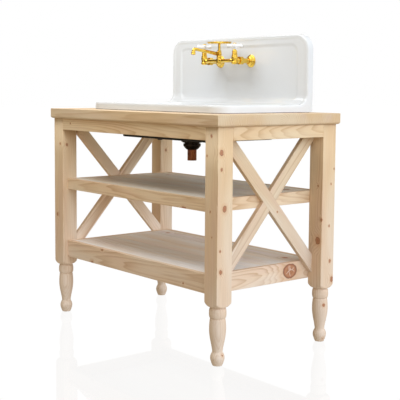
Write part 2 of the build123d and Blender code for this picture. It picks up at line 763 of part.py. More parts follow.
# The post is screwed into the bridge; the spout's hub turns on it below the dish.
DISH_BOTTOM = 1178.0
DISH_HALF_X = 60.0
DISH_HALF_Y = 47.0
DISH_WALL = 1.6
DISH_FLARE = 5.0
DISH_TOP = 1187.0
with BuildPart() as dish_post:
    with BuildSketch(Plane.XY.offset(VALVE_TOP - 20)):
        with Locations((0, FAUCET_Y)):
            Circle(DISH_POST_R)
    extrude(amount=DISH_BOTTOM - VALVE_TOP + 20)
    with BuildSketch(Plane.XY.offset(HUB_TOP + 0.4)):
        with Locations((0, FAUCET_Y)):
            Circle(8.5)
    extrude(amount=4)
save(dish_post.part, "dish_post")

with BuildPart() as soap_dish:
    with BuildSketch(Plane.XY.offset(DISH_BOTTOM)):
        with Locations((0, FAUCET_Y)):
            Ellipse(DISH_HALF_X - DISH_FLARE, DISH_HALF_Y - DISH_FLARE)
    with BuildSketch(Plane.XY.offset(DISH_TOP)):
        with Locations((0, FAUCET_Y)):
            Ellipse(DISH_HALF_X, DISH_HALF_Y)
    loft()
    with BuildSketch(Plane.XY.offset(DISH_BOTTOM + DISH_WALL)):
        with Locations((0, FAUCET_Y)):
            Ellipse(DISH_HALF_X - DISH_FLARE - DISH_WALL, DISH_HALF_Y - DISH_FLARE - DISH_WALL)
    with BuildSketch(Plane.XY.offset(DISH_TOP)):
        with Locations((0, FAUCET_Y)):
            Ellipse(DISH_HALF_X - DISH_WALL, DISH_HALF_Y - DISH_WALL)
    loft(mode=Mode.SUBTRACT)
save(soap_dish.part, "soap_dish")
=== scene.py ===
from math import cos, pi, radians, sin, tan

import bmesh
import bpy
import numpy as np
from mathutils import Euler, Matrix, Vector


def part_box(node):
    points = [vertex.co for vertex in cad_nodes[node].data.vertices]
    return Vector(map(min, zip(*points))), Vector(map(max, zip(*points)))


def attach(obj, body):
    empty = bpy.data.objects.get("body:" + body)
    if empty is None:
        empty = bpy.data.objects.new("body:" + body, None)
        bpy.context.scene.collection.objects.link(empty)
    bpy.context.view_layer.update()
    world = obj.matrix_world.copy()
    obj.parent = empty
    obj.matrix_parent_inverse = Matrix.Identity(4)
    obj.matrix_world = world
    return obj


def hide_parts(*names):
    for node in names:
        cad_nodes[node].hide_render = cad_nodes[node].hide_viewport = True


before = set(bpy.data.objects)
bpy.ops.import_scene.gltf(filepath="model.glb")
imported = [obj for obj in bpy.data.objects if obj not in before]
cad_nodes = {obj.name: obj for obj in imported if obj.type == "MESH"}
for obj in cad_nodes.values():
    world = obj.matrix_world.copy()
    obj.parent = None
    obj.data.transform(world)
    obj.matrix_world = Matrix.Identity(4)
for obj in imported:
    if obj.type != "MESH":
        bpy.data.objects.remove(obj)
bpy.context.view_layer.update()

# ------------------------------------------------------------------ legs
# Four solid pine legs. Each is a squared post whose foot is turned on a lathe: ball, ankle,
# vase, bead and collar under a rounded shoulder. Sanded and left bare, knots showing.
MM = 0.001
WELD = 0.00002
SOFTNESS = 0.8 * MM


def surface(name, grids, faces_up=False):
    """A smooth mesh through grids of points. Each grid is rows x columns x 3 and gives one quad
    for each cell; points that fall together, at seams, poles and shared edges, become one.
    faces_up turns an open sheet so that most of it looks up."""
    points = []
    quads = []
    first = 0
    for grid in grids:
        rows, columns = grid.shape[:2]
        index = first + np.arange(rows * columns).reshape(rows, columns)
        cells = (index[:-1, :-1], index[:-1, 1:], index[1:, 1:], index[1:, :-1])
        quads.append(np.stack(cells, axis=-1).reshape(-1, 4))
        points.append(grid.reshape(-1, 3))
        first += rows * columns
    mesh = bpy.data.meshes.new(name)
    mesh.from_pydata(np.vstack(points).tolist(), [], np.vstack(quads).tolist())
    shape = bmesh.new()
    shape.from_mesh(mesh)
    bmesh.ops.remove_doubles(shape, verts=shape.verts, dist=WELD)
    bmesh.ops.recalc_face_normals(shape, faces=shape.faces)
    upward = sum(face.normal.z * face.calc_area() for face in shape.faces)
    if faces_up and upward < 0:
        bmesh.ops.reverse_faces(shape, faces=shape.faces)
    shape.to_mesh(mesh)
    shape.free()
    mesh.polygons.foreach_set("use_smooth", np.ones(len(mesh.polygons), bool))
    piece = bpy.data.objects.new(name, mesh)
    bpy.context.scene.collection.objects.link(piece)
    return piece


def finish(piece, materials, slot, body, *nodes):
    """Gives a new piece its materials and body, and the CAD nodes it stands for. slot, the finish slot,
    is not used.
    """
    for material in materials:
        piece.data.materials.append(material)
    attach(piece, body)
    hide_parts(*nodes)
    return piece


def flowing(points, steps=8):
    """A curve through the points: between neighbours a cubic whose slope at each point is half
    the chord between the points either side of it."""
    p = np.array(points, float)
    slope = np.gradient(p, axis=0)
    t = np.linspace(0, 1, steps, endpoint=False)[None, :, None]
    a, b = p[:-1, None], p[1:, None]
    u, v = slope[:-1, None], slope[1:, None]
    hermite = (
        a * (2 * t**3 - 3 * t**2 + 1)
        + u * (t**3 - 2 * t**2 + t)
        + b * (3 * t**2 - 2 * t**3)
        + v * (t**3 - t**2)
    )
    return np.vstack([hermite.reshape(-1, p.shape[1]), p[-1:]])


def eased(corners, steps=6):
    """An outline whose corners are rounded. A corner is (across, along, rounding); it gives way
    to a parabola that leaves the sides its rounding's length from it, or at most 45% of the
    side, and a support point on each side keeps the straights flat."""
    c = np.array(corners, float)
    p, reach = c[:, :2], c[:, 2:]
    parts = []
    t = np.linspace(0, 1, steps)[:, None]
    for before, here, after, r in zip(p[:-2], p[1:-1], p[2:], reach[1:-1]):
        back, on = before - here, after - here
        back_len, on_len = np.hypot(*back), np.hypot(*on)
        b = back / back_len * min(r[0], 0.45 * back_len)
        o = on / on_len * min(r[0], 0.45 * on_len)
        bend = (here + b) * (1 - t) ** 2 + 2 * here * t * (1 - t) + (here + o) * t**2
        parts.append(np.vstack([here + 1.1 * b, bend, here + 1.1 * o]))
    return np.vstack([p[:1], *parts, p[-1:]])


def post_rim(half, easing):
    """Once round a square with rounded corners, as angles and radii from its middle: on each
    side even steps and a last one close to the corner, then a quarter circle."""
    side = np.append(np.linspace(0, half - easing - 0.7 * MM, 7), half - easing)
    turn = np.linspace(0, pi / 2, 6)[1:-1]
    inner = half - easing
    x = np.hstack([np.full(len(side), half), inner + easing * np.cos(turn), side[::-1]])
    y = np.hstack([side, inner + easing * np.sin(turn), np.full(len(side), half)])
    angle = np.arctan2(y, x)
    angles = np.hstack([angle[:-1] + quarter * pi / 2 for quarter in range(4)] + [2 * pi])
    radii = np.hstack([np.hypot(x, y)[:-1]] * 4 + [half])
    return angles, radii


def post_grid(outline, centre_x, centre_y, half, easing):
    """A square post cut back by its turning. Rows follow the turning's outline and columns go
    round; the radius is the softened lesser of the turning's and the square's, half of their
    sum less the root of their difference squared plus SOFTNESS squared."""
    angles, radii = post_rim(half, easing)
    turning = outline[:, :1]
    gap = np.sqrt((turning - radii) ** 2 + SOFTNESS**2)
    radius = np.maximum((turning + radii - gap) / 2, 0)
    radius = np.where(turning > 1.6 * half, radii, radius)
    radius[outline[:, 0] == 0] = 0
    height = np.repeat(outline[:, 1:], len(angles), axis=1)
    return np.stack(
        [centre_x + radius * np.cos(angles), centre_y + radius * np.sin(angles), height], axis=-1
    )


leg_low, leg_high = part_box("front_right_leg")
POST_HALF = (leg_high.x - leg_low.x) / 2
POST_EASING = 2.0 * MM
LEG_TOP = leg_high.z
FOOT = MM * np.vstack(
    [
        [(0, 0), (8, 0), (15.5, 0), (17, 0.5)],
        flowing([(18, 1.6), (22.6, 13), (26, 27), (24.4, 39), (19.2, 50), (19, 56)]),
        flowing([(19.6, 60), (22.5, 76), (27, 98), (30.2, 122), (30.4, 146), (28.6, 169)], 6),
        flowing([(27.6, 171.5), (27, 173.4), (28, 174.8), (29.6, 176.4)], 4),
        flowing([(30.2, 178.5), (31.4, 186), (31.5, 193), (31, 202), (29.8, 208.2)], 5),
        flowing([(28.6, 210), (26.8, 211.6), (26.5, 213.4)], 4),
        flowing([(27.4, 214.3), (33, 215.9), (39, 219), (44, 223.6), (48, 229.6), (50.6, 238)]),
        [(51.6, 244), (52.4, 250), (60, 270), (60, 400), (60, 550), (60, 700)],
    ]
)
LEG_OUTLINE = np.vstack([FOOT, [(0.06, LEG_TOP), (0.0, LEG_TOP)]])


def make(tree, kind, sockets=(), **settings):
    """A shader node. sockets maps an input's name or number to a value or a node's output."""
    node = tree.nodes.new(kind)
    for key, value in settings.items():
        setattr(node, key, value)
    for key, value in dict(sockets).items():
        if isinstance(value, bpy.types.NodeSocket):
            tree.links.new(value, node.inputs[key])
        else:
            node.inputs[key].default_value = value
    return node


def new_finish(name):
    """A material with one Principled shader, its tree, and the object's own coordinates."""
    material = bpy.data.materials.new(name)
    material.use_nodes = True
    tree = material.node_tree
    tree.nodes.clear()
    shader = make(tree, "ShaderNodeBsdfPrincipled")
    output = make(tree, "ShaderNodeOutputMaterial")
    tree.links.new(shader.outputs["BSDF"], output.inputs["Surface"])
    place = make(tree, "ShaderNodeTexCoord").outputs["Object"]
    return material, tree, shader, place


def wire(tree, shader, colour, rough, bump=None):
    """Joins a colour, a roughness and, where there is one, a bump to the shader."""
    tree.links.new(colour, shader.inputs["Base Color"])
    tree.links.new(rough, shader.inputs["Roughness"])
    if bump:
        tree.links.new(bump.outputs[0], shader.inputs["Normal"])


def number(tree, operation, *values):
    """One step of arithmetic on numbers."""
    return make(tree, "ShaderNodeMath", enumerate(values), operation=operation).outputs[0]


def vector(tree, operation, *values):
    """One step of arithmetic on vectors."""
    node = make(tree, "ShaderNodeVectorMath", enumerate(values), operation=operation)
    return node.outputs["Value" if operation == "LENGTH" else "Vector"]


def noise(tree, place, scale, detail=2.0, roughness=0.5):
    """The value and the colour of cloudy noise."""
    sockets = {"Vector": place, "Scale": scale, "Detail": detail, "Roughness": roughness}
    node = make(tree, "ShaderNodeTexNoise", sockets)
    return node.outputs[0], node.outputs[1]


def blend(tree, factor, a, b, mode="MIX"):
    """Colour a giving way to colour b as the factor goes from 0 to 1."""
    node = make(tree, "ShaderNodeMix", {0: factor, 6: a, 7: b}, data_type="RGBA")
    node.blend_type = mode
    return node.outputs[2]


def fade(tree, value, start, end, low=0.0, high=1.0):
    """A smooth change from low to high as the value goes from start to end."""
    sockets = {0: value, 1: start, 2: end, 3: low, 4: high}
    kind = "ShaderNodeMapRange"
    return make(tree, kind, sockets, interpolation_type="SMOOTHSTEP").outputs[0]


def ramp(tree, value, stops):
    """A colour read off a scale of (position, colour) stops."""
    node = make(tree, "ShaderNodeValToRGB", {0: value})
    scale = node.color_ramp
    while len(scale.elements) < len(stops):
        scale.elements.new(0.5)
    for element, (position, colour) in zip(scale.elements, stops):
        element.position = position
        element.color = (*colour, 1.0)
    return node.outputs[0]


ALONG_X = (0, pi / 2, 0)
ALONG_Y = (-pi / 2, 0, 0)
ALONG_Z = (0, 0, 0)
PINE_PALE = (0.80, 0.64, 0.455)
PINE_WARM = (0.775, 0.56, 0.345)
PINE_LATE = (0.50, 0.28, 0.12)
PINE_PINK = (0.79, 0.59, 0.46)
KNOT_HALO = (0.66, 0.38, 0.20)
CRACK_PALE = (0.74, 0.58, 0.48)
# Painted light: the wash by height, bluer near the floor and warmer up at the slab.
PAINTED_LIGHT_AT_FLOOR = (1.0, 1.05, 1.24)
PAINTED_LIGHT_AT_SLAB = (1.0, 0.985, 0.93)
CRACKED_KNOT = 15
WIDEST_SWELL = 20


def equal_parts(tree, value):
    """A grey colour, or a vector, whose three parts are all the value."""
    return make(tree, "ShaderNodeCombineXYZ", {0: value, 1: value, 2: value}).outputs[0]


def pine(name, node, turn, pith, lean=(0.0, 0.0), knots=(), ring=5.5, boards=None, late=0.55,
         painted_light_tint=(1.0, 1.0, 1.0)):
    """Bare sanded pine, cut from a log in the timber's own frame, whose third axis is the grain.
    A point's distance from the pith line, swayed by slow noise and swelled near each knot,
    divided by the ring width, gives its place in a year's ring: pale early wood, then a narrow
    band of brown late wood. Fine fibres run along the grain. pith and ring are in millimetres,
    a knot is (x, y, z, radius) in millimetres in the stand's frame, and one whose radius is over
    CRACKED_KNOT has a cracked heart. boards is the pitch and first edge of laid boards, each of
    which has its own pith and its own tone. late is how dark the late wood is. A per-piece tint
    and a wash that changes with height multiply the colour; both are painted light, not the
    wood's own colour: the tint lifts or dims the piece as the studio's light falls on it, and the
    wash is bluer near the floor and warmer up at the slab."""
    material, tree, shader, place = new_finish(name)
    low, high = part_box(node)
    centre = (low + high) / 2
    sockets = {"Vector": place, "Location": centre, "Rotation": turn}
    timber = make(tree, "ShaderNodeMapping", sockets, vector_type="TEXTURE").outputs[0]
    turned_back = Euler(turn).to_matrix().transposed()
    whole = timber
    if boards:
        pitch, first_edge = boards
        beside = make(tree, "ShaderNodeSeparateXYZ", {0: timber}).outputs[1]
        count = number(tree, "FLOOR", number(tree, "DIVIDE", number(
            tree, "SUBTRACT", beside, first_edge), pitch))
        lot = make(tree, "ShaderNodeTexWhiteNoise", {1: count}, noise_dimensions="1D").outputs[1]
        shift = vector(tree, "MULTIPLY", vector(tree, "SUBTRACT", lot, (0.5,) * 3), (0.05, 0.1, 5))
        middle = number(tree, "MULTIPLY_ADD", count, -pitch, -first_edge - pitch / 2)
        back = make(tree, "ShaderNodeCombineXYZ", {1: middle}).outputs[0]
        timber = vector(tree, "ADD", vector(tree, "ADD", timber, shift), back)
        board_tone = make(tree, "ShaderNodeSeparateXYZ", {0: lot}).outputs[0]

    stretched = vector(tree, "MULTIPLY", timber, (1, 1, 0.14))
    slow = vector(tree, "SUBTRACT", noise(tree, stretched, 9, 1.6)[1], (0.5,) * 3)
    sway = vector(tree, "MULTIPLY", slow, (0.03, 0.03, 0))
    height = make(tree, "ShaderNodeSeparateXYZ", {0: timber}).outputs[2]
    drift = vector(tree, "MULTIPLY", make(
        tree, "ShaderNodeCombineXYZ", {0: height, 1: height}).outputs[0], (*lean, 0))
    log = vector(tree, "ADD", vector(tree, "ADD", timber, sway), drift)
    log = vector(tree, "SUBTRACT", log, (pith[0] * MM, pith[1] * MM, 0))
    distance = vector(tree, "LENGTH", vector(tree, "MULTIPLY", log, (1, 1, 0)))

    rough_place = vector(tree, "SUBTRACT", noise(tree, whole, 95, 2)[1], (0.5,) * 3)
    rough_place = vector(tree, "MULTIPLY_ADD", rough_place, (0.006,) * 3, whole)
    nearest = 9.0
    for x, y, z, radius in knots:
        spot = turned_back @ (Vector((x, y, z)) * MM - centre)
        size = 1 / (radius * MM)
        offset = vector(tree, "SUBTRACT", rough_place, tuple(spot))
        apart = vector(tree, "LENGTH", vector(tree, "MULTIPLY", offset, (size, size, size / 1.3)))
        most_swell = 1.5 * radius if radius < CRACKED_KNOT else WIDEST_SWELL
        swell = fade(tree, apart, 0.6, 4.5, most_swell * MM, 0.0)
        distance = number(tree, "ADD", distance, swell)
        nearest = number(tree, "MINIMUM", nearest, apart)

    uneven = noise(tree, vector(tree, "MULTIPLY", log, (1, 1, 0)), 34, 1)[0]
    turns = number(tree, "MULTIPLY_ADD", distance, 1000 / ring, number(
        tree, "MULTIPLY", uneven, 2.2))
    in_ring = number(tree, "FRACT", turns)
    late_wood = ramp(tree, in_ring, [
        (0.0, (0.0,) * 3), (0.42, (0.06,) * 3), (0.78, (0.72,) * 3), (0.9, (1.0,) * 3),
        (0.955, (0.55,) * 3), (1.0, (0.0,) * 3)])
    patchy = noise(tree, stretched, 15, 2)[0]
    strength = number(tree, "MULTIPLY", late_wood, fade(tree, patchy, 0.3, 0.72, late * 0.35, late))
    fibre = noise(tree, vector(tree, "MULTIPLY", timber, (1, 1, 0.016)), 900, 3, 0.65)[0]
    broad = noise(tree, vector(tree, "MULTIPLY", timber, (1, 1, 0.22)), 11, 1.5)[0]

    body = blend(tree, fade(tree, broad, 0.32, 0.7), (*PINE_PALE, 1), (*PINE_WARM, 1))
    body = blend(tree, fade(tree, patchy, 0.5, 0.75, 0.0, 0.55), body, (*PINE_PINK, 1))
    body = blend(tree, strength, body, (*PINE_LATE, 1))
    grey = number(tree, "MULTIPLY_ADD", fibre, 0.34, 0.83)
    body = blend(tree, 1.0, body, equal_parts(tree, grey), "MULTIPLY")
    if boards:
        tone = number(tree, "MULTIPLY_ADD", board_tone, 0.16, 0.9)
        body = blend(tree, 1.0, body, equal_parts(tree, tone), "MULTIPLY")
    # Painted light: a per-piece factor lifts or dims the colour as the studio's light would.
    body = blend(tree, 1.0, body, (*painted_light_tint, 1), "MULTIPLY")
    # Painted light: a wash by height, bluer near the floor and warmer up at the slab, stands in for the
    # cool light reaching the lower parts.
    up = make(tree, "ShaderNodeSeparateXYZ", {0: place}).outputs[2]
    painted_light_wash = blend(tree, fade(tree, up, 0.1, 0.85), (*PAINTED_LIGHT_AT_FLOOR, 1), (*PAINTED_LIGHT_AT_SLAB, 1))
    body = blend(tree, 1.0, body, painted_light_wash, "MULTIPLY")
    halo = fade(tree, nearest, 0.9, 2.6, 0.5, 0.0)
    body = blend(tree, halo, body, (*KNOT_HALO, 1))
    if any(knot[3] > CRACKED_KNOT for knot in knots):
        split = make(tree, "ShaderNodeTexVoronoi", {"Vector": rough_place, "Scale": 24},
                     feature="DISTANCE_TO_EDGE").outputs[0]
        inside = fade(tree, nearest, 0.55, 0.85, 1.0, 0.0)
        crack = number(tree, "MULTIPLY", fade(tree, split, 0.012, 0.05, 0.7, 0.0), inside)
    else:
        crack = 0.0
    knot_colour = ramp(tree, number(tree, "MULTIPLY", nearest, 0.8), [
        (0.0, (0.36, 0.15, 0.075)), (0.22, (0.46, 0.21, 0.11)), (0.34, (0.40, 0.17, 0.085)),
        (0.52, (0.50, 0.24, 0.13)), (0.68, (0.44, 0.19, 0.10)), (0.82, (0.20, 0.08, 0.05))])
    knot_colour = blend(tree, crack, knot_colour, (*CRACK_PALE, 1))
    body = blend(tree, fade(tree, nearest, 0.98, 1.14, 1.0, 0.0), body, knot_colour)

    gloss = number(tree, "MULTIPLY_ADD", strength, -0.12, 0.62)
    relief = number(tree, "ADD", number(tree, "MULTIPLY", late_wood, 0.35), fibre)
    bump = make(tree, "ShaderNodeBump", {"Strength": 0.22, "Distance": 0.0006, "Height": relief})
    wire(tree, shader, body, gloss, bump)
    shader.inputs["Specular IOR Level"].default_value = 0.3
    return material


LEGS = {
    "front_right_leg": ((46, -58), (0.02, 0.03), [
        (552, -284, 768, 8), (552, -283, 709, 4.5), (552, -268, 570, 9), (552, -287, 421, 3.5),
        (552, -284, 346, 6), (516, -300, 826, 4.5), (493, -300, 755, 3), (512, -300, 558, 3),
        (522, -300, 468, 2.5), (545, -262, 44, 5), (497, -285, 117, 3.5)]),
    "rear_right_leg": ((58, 52), (-0.03, 0.015), [
        (529, 231, 619, 3.5), (549, 231, 489, 4.5), (532, 231, 405, 11), (552, 294, 684, 3),
        (552, 278, 626, 3), (552, 272, 462, 3.5), (552, 279, 323, 5), (552, 292, 249, 8),
        (547, 256, 149, 5), (535, 262, 16, 5)]),
    "front_left_leg": ((-52, 60), (0.025, -0.02), [
        (-482, -280, 743, 5), (-505, -300, 748, 4), (-530, -300, 436, 5), (-482, -252, 300, 3)]),
    "rear_left_leg": ((-50, -64), (0.02, 0.02), [
        (-482, 262, 700, 5), (-506, 231, 560, 7), (-530, 300, 420, 10), (-552, 270, 640, 7)]),
}
for leg_name, (pith, lean, knots) in LEGS.items():
    low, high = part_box(leg_name)
    leg = surface(
        leg_name.replace("_leg", "_turned_leg"),
        [post_grid(LEG_OUTLINE, (low.x + high.x) / 2, (low.y + high.y) / 2, POST_HALF, POST_EASING)],
    )
    finish(leg, [pine(f"pine_{leg_name}", leg_name, ALONG_Z, pith, lean, knots)], "pine_legs",
           "stand", leg_name)


def dress(node, material):
    """Gives a CAD node, which keeps its shape, its material."""
    mesh = cad_nodes[node].data
    mesh.materials.clear()
    mesh.materials.append(material)


dress("front_apron", pine("pine_front_apron", "front_apron", ALONG_X, (30, -64), (0.03, 0.045), [
    (-420, -300, 838, 3)], 6.5, late=0.7))
dress("rear_apron", pine("pine_rear_apron", "rear_apron", ALONG_X, (-24, 60), (0.02, -0.04)))
dress("left_apron", pine("pine_left_apron", "left_apron", ALONG_Y, (60, 22), (0.05, 0.02)))
dress("right_apron", pine("pine_right_apron", "right_apron", ALONG_Y, (-66, -14), (-0.09, 0.03), [],
                          7.0, late=0.7))
dress("corner_blocks", pine("pine_corner_blocks", "corner_blocks", ALONG_Z, (90, 40)))


def metal(name, colour, worn_colour, rough, rough_spread, scale=60.0):
    """Metal whose colour and gloss drift with cloudy noise, and gloss with a finer noise too."""
    material, tree, shader, place = new_finish(name)
    cloudy = noise(tree, place, scale, 4, 0.6)[0]
    fine = noise(tree, place, scale * 14, 3, 0.6)[0]
    body = blend(tree, fade(tree, cloudy, 0.35, 0.72), (*colour, 1), (*worn_colour, 1))
    gloss = number(tree, "MULTIPLY_ADD", fade(tree, cloudy, 0.3, 0.75), rough_spread, rough)
    gloss = number(tree, "MULTIPLY_ADD", fine, rough_spread * 0.6, gloss)
    wire(tree, shader, body, gloss)
    shader.inputs["Metallic"].default_value = 1.0
    return material


screw_steel = metal("screw_steel", (0.55, 0.56, 0.57), (0.40, 0.40, 0.40), 0.3, 0.12)
dress("top_screws", screw_steel)

# ------------------------------------------------------------------ countertop
# One thick pine slab whose grain runs its length, a small hollow run under its edge with a
# router and the upper edge eased. The basin hangs through its cut-out.
# Painted shade: the slab's colour is dimmed and cooled a little, standing in for less light on it.
SLAB_PAINTED_SHADE = (0.91, 0.93, 0.97)
dress("countertop", pine("pine_countertop", "countertop", ALONG_X, (30, 10), (0.025, 0.02), [], 7.0,
                         late=0.5, painted_light_tint=SLAB_PAINTED_SHADE))

# ------------------------------------------------------------------ shelves
# Two trays of planed pine: rails on edge screwed to the posts, five loose boards let in between
# them, and a cleat under the boards' ends at front and rear.
RAILS = {
    "lower_front_rail": (ALONG_X, (12, 70), (0.055, 0.02), [
        (-290, -277, 256, 5), (-213, -277, 318, 4), (331, -277, 270, 3)], 8.0),
    "lower_rear_rail": (ALONG_X, (20, -74), (0.03, 0.02), [(120, 276, 290, 9)], 6.0),
    "lower_left_rail": (ALONG_Y, (-70, 16), (0.04, 0.03), [(-482, -120, 300, 8)], 6.5),
    "lower_right_rail": (ALONG_Y, (66, 8), (-0.07, 0.05), [(482, 131, 290, 27)], 8.0),
    "upper_front_rail": (ALONG_X, (-8, 60), (0.05, 0.02), [
        (328, -277, 551, 6), (340, -277, 552, 4)], 6.0),
    "upper_rear_rail": (ALONG_X, (14, -66), (0.02, 0.03), [(-200, 276, 575, 6)], 6.0),
    "upper_left_rail": (ALONG_Y, (-70, -12), (0.05, 0.03), [], 6.0),
    "upper_right_rail": (ALONG_Y, (72, -4), (0.08, 0.04), [], 7.0),
}
BOARDS_ON_A_SHELF = 5
# Painted light: the shelf boards' colour is lifted and turned cool and grey, standing in for the cool
# light that falls on the shelf tops.
BOARD_PAINTED_LIGHT = (1.12, 1.33, 1.66)
for rail_name, (turn, pith, lean, knots, growth) in RAILS.items():
    dress(rail_name, pine(f"pine_{rail_name}", rail_name, turn, pith, lean, knots, growth, late=0.68))
for shelf in ("lower", "upper"):
    boards_name = f"{shelf}_shelf_boards"
    low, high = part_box(boards_name)
    board_pitch = (high.y - low.y) / BOARDS_ON_A_SHELF
    board_top = high.z / MM
    dress(boards_name, pine(
        f"pine_{shelf}_boards", boards_name, ALONG_X, (40, 0), (0.03, 0.05),
        [(-390, 205, board_top, 7), (395, 190, board_top, 9)],
        6.5, (board_pitch, -(high.y - low.y) / 2), 0.45, BOARD_PAINTED_LIGHT))
    cleats_name = f"{shelf}_shelf_cleats"
    dress(cleats_name, pine(f"pine_{shelf}_cleats", cleats_name, ALONG_X, (60, 30)))
dress("shelf_screws", screw_steel)

# ------------------------------------------------------------------ braces
# Pine laths crossed into an X at each end, half-lapped where they meet and glued to the posts
# and shelf rails. The main lath of each pair shows whole; the other goes behind it.
BRACE_SLOPE = 1.13
BRACE_TILT = np.arctan(BRACE_SLOPE)
RISING = (BRACE_TILT - pi / 2, 0, 0)
FALLING = (-BRACE_TILT - pi / 2, 0, 0)
# Each side's last entry is painted light: the left braces are lifted and cooled, the right ones dimmed
# a little, as the light falls on them.
BRACES = (
    ("left", -1, [(-482, -238, 802, 9)], (1.16, 1.2, 1.26)),
    ("right", 1, [(501, 40, 530, 2.5)], (0.94, 0.97, 1.02)),
)
for side_name, side, main_knots, painted_light_tint in BRACES:
    main = f"{side_name}_main_brace"
    dress(main, pine(f"pine_{main}", main, FALLING, (side * 52, 40), (0.03, 0.02), main_knots, 6.0,
                     late=0.4, painted_light_tint=painted_light_tint))
    lapped = f"{side_name}_lapped_brace"
    dress(lapped, pine(f"pine_{lapped}", lapped, RISING, (side * 60, -9), (0.012, 0.01), [], 9.0,
                       late=0.75, painted_light_tint=painted_light_tint))

# ------------------------------------------------------------------ sink
# A cast-iron sink in one piece with its back: a bead round the edge, a tapered basin, a cove
# up to the back and a sunk panel. White vitreous enamel on the face, black coating below.
IRON = 6.5 * MM
DECK = 930 * MM
SPLASH_FACE = 262 * MM
COVE = 40 * MM
FACE_DROP = 1.5 * MM
PANEL_DROP = 5 * MM
JOIN = 434 * MM
RIM_CORNER = 62 * MM
BACK_CORNER = 65 * MM
SKIRT = 28 * MM
BACK_SKIRT = 30 * MM
BEAD = 24 * MM
ROLL = 11 * MM
EIGHTH_STEPS = 30
sink_low, sink_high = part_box("sink")
SINK_HALF = sink_high.x
DECK_RUN = SPLASH_FACE - COVE - sink_low.y
COVE_END = DECK_RUN + COVE * pi / 2
SHEET_END = COVE_END + sink_high.z - DECK - COVE


def on_sheet(flat, below):
    """Bends the flat sheet of (across, along) points to the sink: level over the deck, a quarter
    circle round the cove, then upright. below is how far under the face a point lies."""
    across, along = flat[..., 0], flat[..., 1]
    bend = np.clip((along - DECK_RUN) / COVE, 0, pi / 2)
    radius = COVE + below
    y = sink_low.y + np.minimum(along, DECK_RUN) + radius * np.sin(bend)
    z = DECK + COVE - radius * np.cos(bend) + np.maximum(along - COVE_END, 0)
    return np.stack([across, y, z + 0 * radius], axis=-1)


def corner_half(half, other, corner, t):
    """From the middle of a rectangle's side to the middle of its rounded corner, by length."""
    run = other - corner
    s = t * (run + corner * pi / 4)
    turn = np.maximum(s - run, 0) / max(corner, 1e-9)
    return half - corner + corner * np.cos(turn), np.minimum(s, run) + corner * np.sin(turn)


def ring(half_x, half_y, far_corner, near_corner, centre_y):
    """Once round a rectangle with rounded corners, from the middle of its +X side. Each of its
    eight runs, from a side's middle to a corner's middle, is divided evenly by length."""
    t = np.linspace(0, 1, EIGHTH_STEPS + 1)
    quarters = []
    for corner in (far_corner, near_corner):
        x1, y1 = corner_half(half_x, half_y, corner, t)
        y2, x2 = corner_half(half_y, half_x, corner, t[::-1])
        quarters.append(np.stack([np.hstack([x1[:-1], x2]), np.hstack([y1[:-1], y2])], axis=-1))
    far, near = quarters
    once = np.vstack([
        far[:-1], (far * (-1, 1))[::-1][:-1], (near * (-1, -1))[:-1], (near * (1, -1))[::-1]])
    return once + (0, centre_y)


def rings_between(a, b, shares):
    """Rings part of the way from ring a to ring b, one for each share."""
    share = np.array(shares, float)[:, None, None]
    return a * (1 - share) + b * share


# basin: the hole at the drain opens to the floor's outline, then a cove and tapered walls
BASIN_HALF = 378 * MM
BASIN_HALF_DEPTH = 185 * MM
BASIN_MID = 40 * MM
BASIN_CORNER = 80 * MM
BASIN_FLOOR = 797 * MM
WALL_TAPER = tan(radians(14))
DRAIN = (0.0, 30 * MM)
DRAIN_HOLE = 41 * MM
MOUTH_ROLL = 10 * MM


def basin_ring(inset, centre_y=BASIN_MID):
    """The basin's outline drawn in by an inset."""
    corner = BASIN_CORNER - inset
    return ring(BASIN_HALF - inset, BASIN_HALF_DEPTH - inset, corner, corner, centre_y)


def at_height(rings, heights):
    """Level rings, each at its own height."""
    level = np.broadcast_to(np.array(heights, float)[:, None, None], (*rings.shape[:2], 1))
    return np.concatenate([rings, level], axis=-1)


wall_depth = DECK - BASIN_FLOOR
floor_inset = wall_depth * WALL_TAPER
wall = MM * eased([
    (floor_inset / MM + 26, 797, 0), (floor_inset / MM, 797, 22), (2.5, 920, 0)], 10)
wall_rings = np.stack([basin_ring(inset) for inset in wall[:, 0]])
hole = ring(DRAIN_HOLE, DRAIN_HOLE, DRAIN_HOLE, DRAIN_HOLE, DRAIN[1])
floor_rings = rings_between(hole, wall_rings[0], np.linspace(0, 1, 9))
basin_grid = np.vstack([
    at_height(floor_rings, np.full(9, BASIN_FLOOR)), at_height(wall_rings[1:], wall[1:, 1])])
mouth = basin_ring(-MOUTH_ROLL, BASIN_MID - sink_low.y)
lip = at_height(basin_ring(0)[None], [DECK - FACE_DROP])
over = np.linspace(0, 1, 8)[:, None, None]
roll_grid = (
    basin_grid[-1] * (1 - over) ** 2
    + 2 * lip * over * (1 - over)
    + on_sheet(mouth, FACE_DROP) * over**2
)

# deck: from the basin's mouth out to the bead, and back to where the cove begins to rise
deck_edge = ring(SINK_HALF - BEAD, (JOIN - BEAD) / 2, 0.0, RIM_CORNER - BEAD, (JOIN + BEAD) / 2)
deck_grid = on_sheet(rings_between(mouth, deck_edge, np.linspace(0, 1, 15)), FACE_DROP)

# cove and back: the bead's inner line, the border, the soft step down to the panel, the panel
back_half = (SHEET_END - BEAD - JOIN) / 2
back_edge = ring(SINK_HALF - BEAD, back_half, BACK_CORNER - BEAD, 0.0, JOIN + back_half)
PANEL_HALF = 383 * MM
PANEL_LOW = JOIN + 6 * MM
PANEL_TOP = 1181 * MM
PANEL_STEP = 26
PANEL_HALF_HEIGHT = (COVE_END + PANEL_TOP - DECK - COVE - PANEL_LOW) / 2
PANEL_CORNER = 45 * MM
panel_mid = PANEL_LOW + PANEL_HALF_HEIGHT


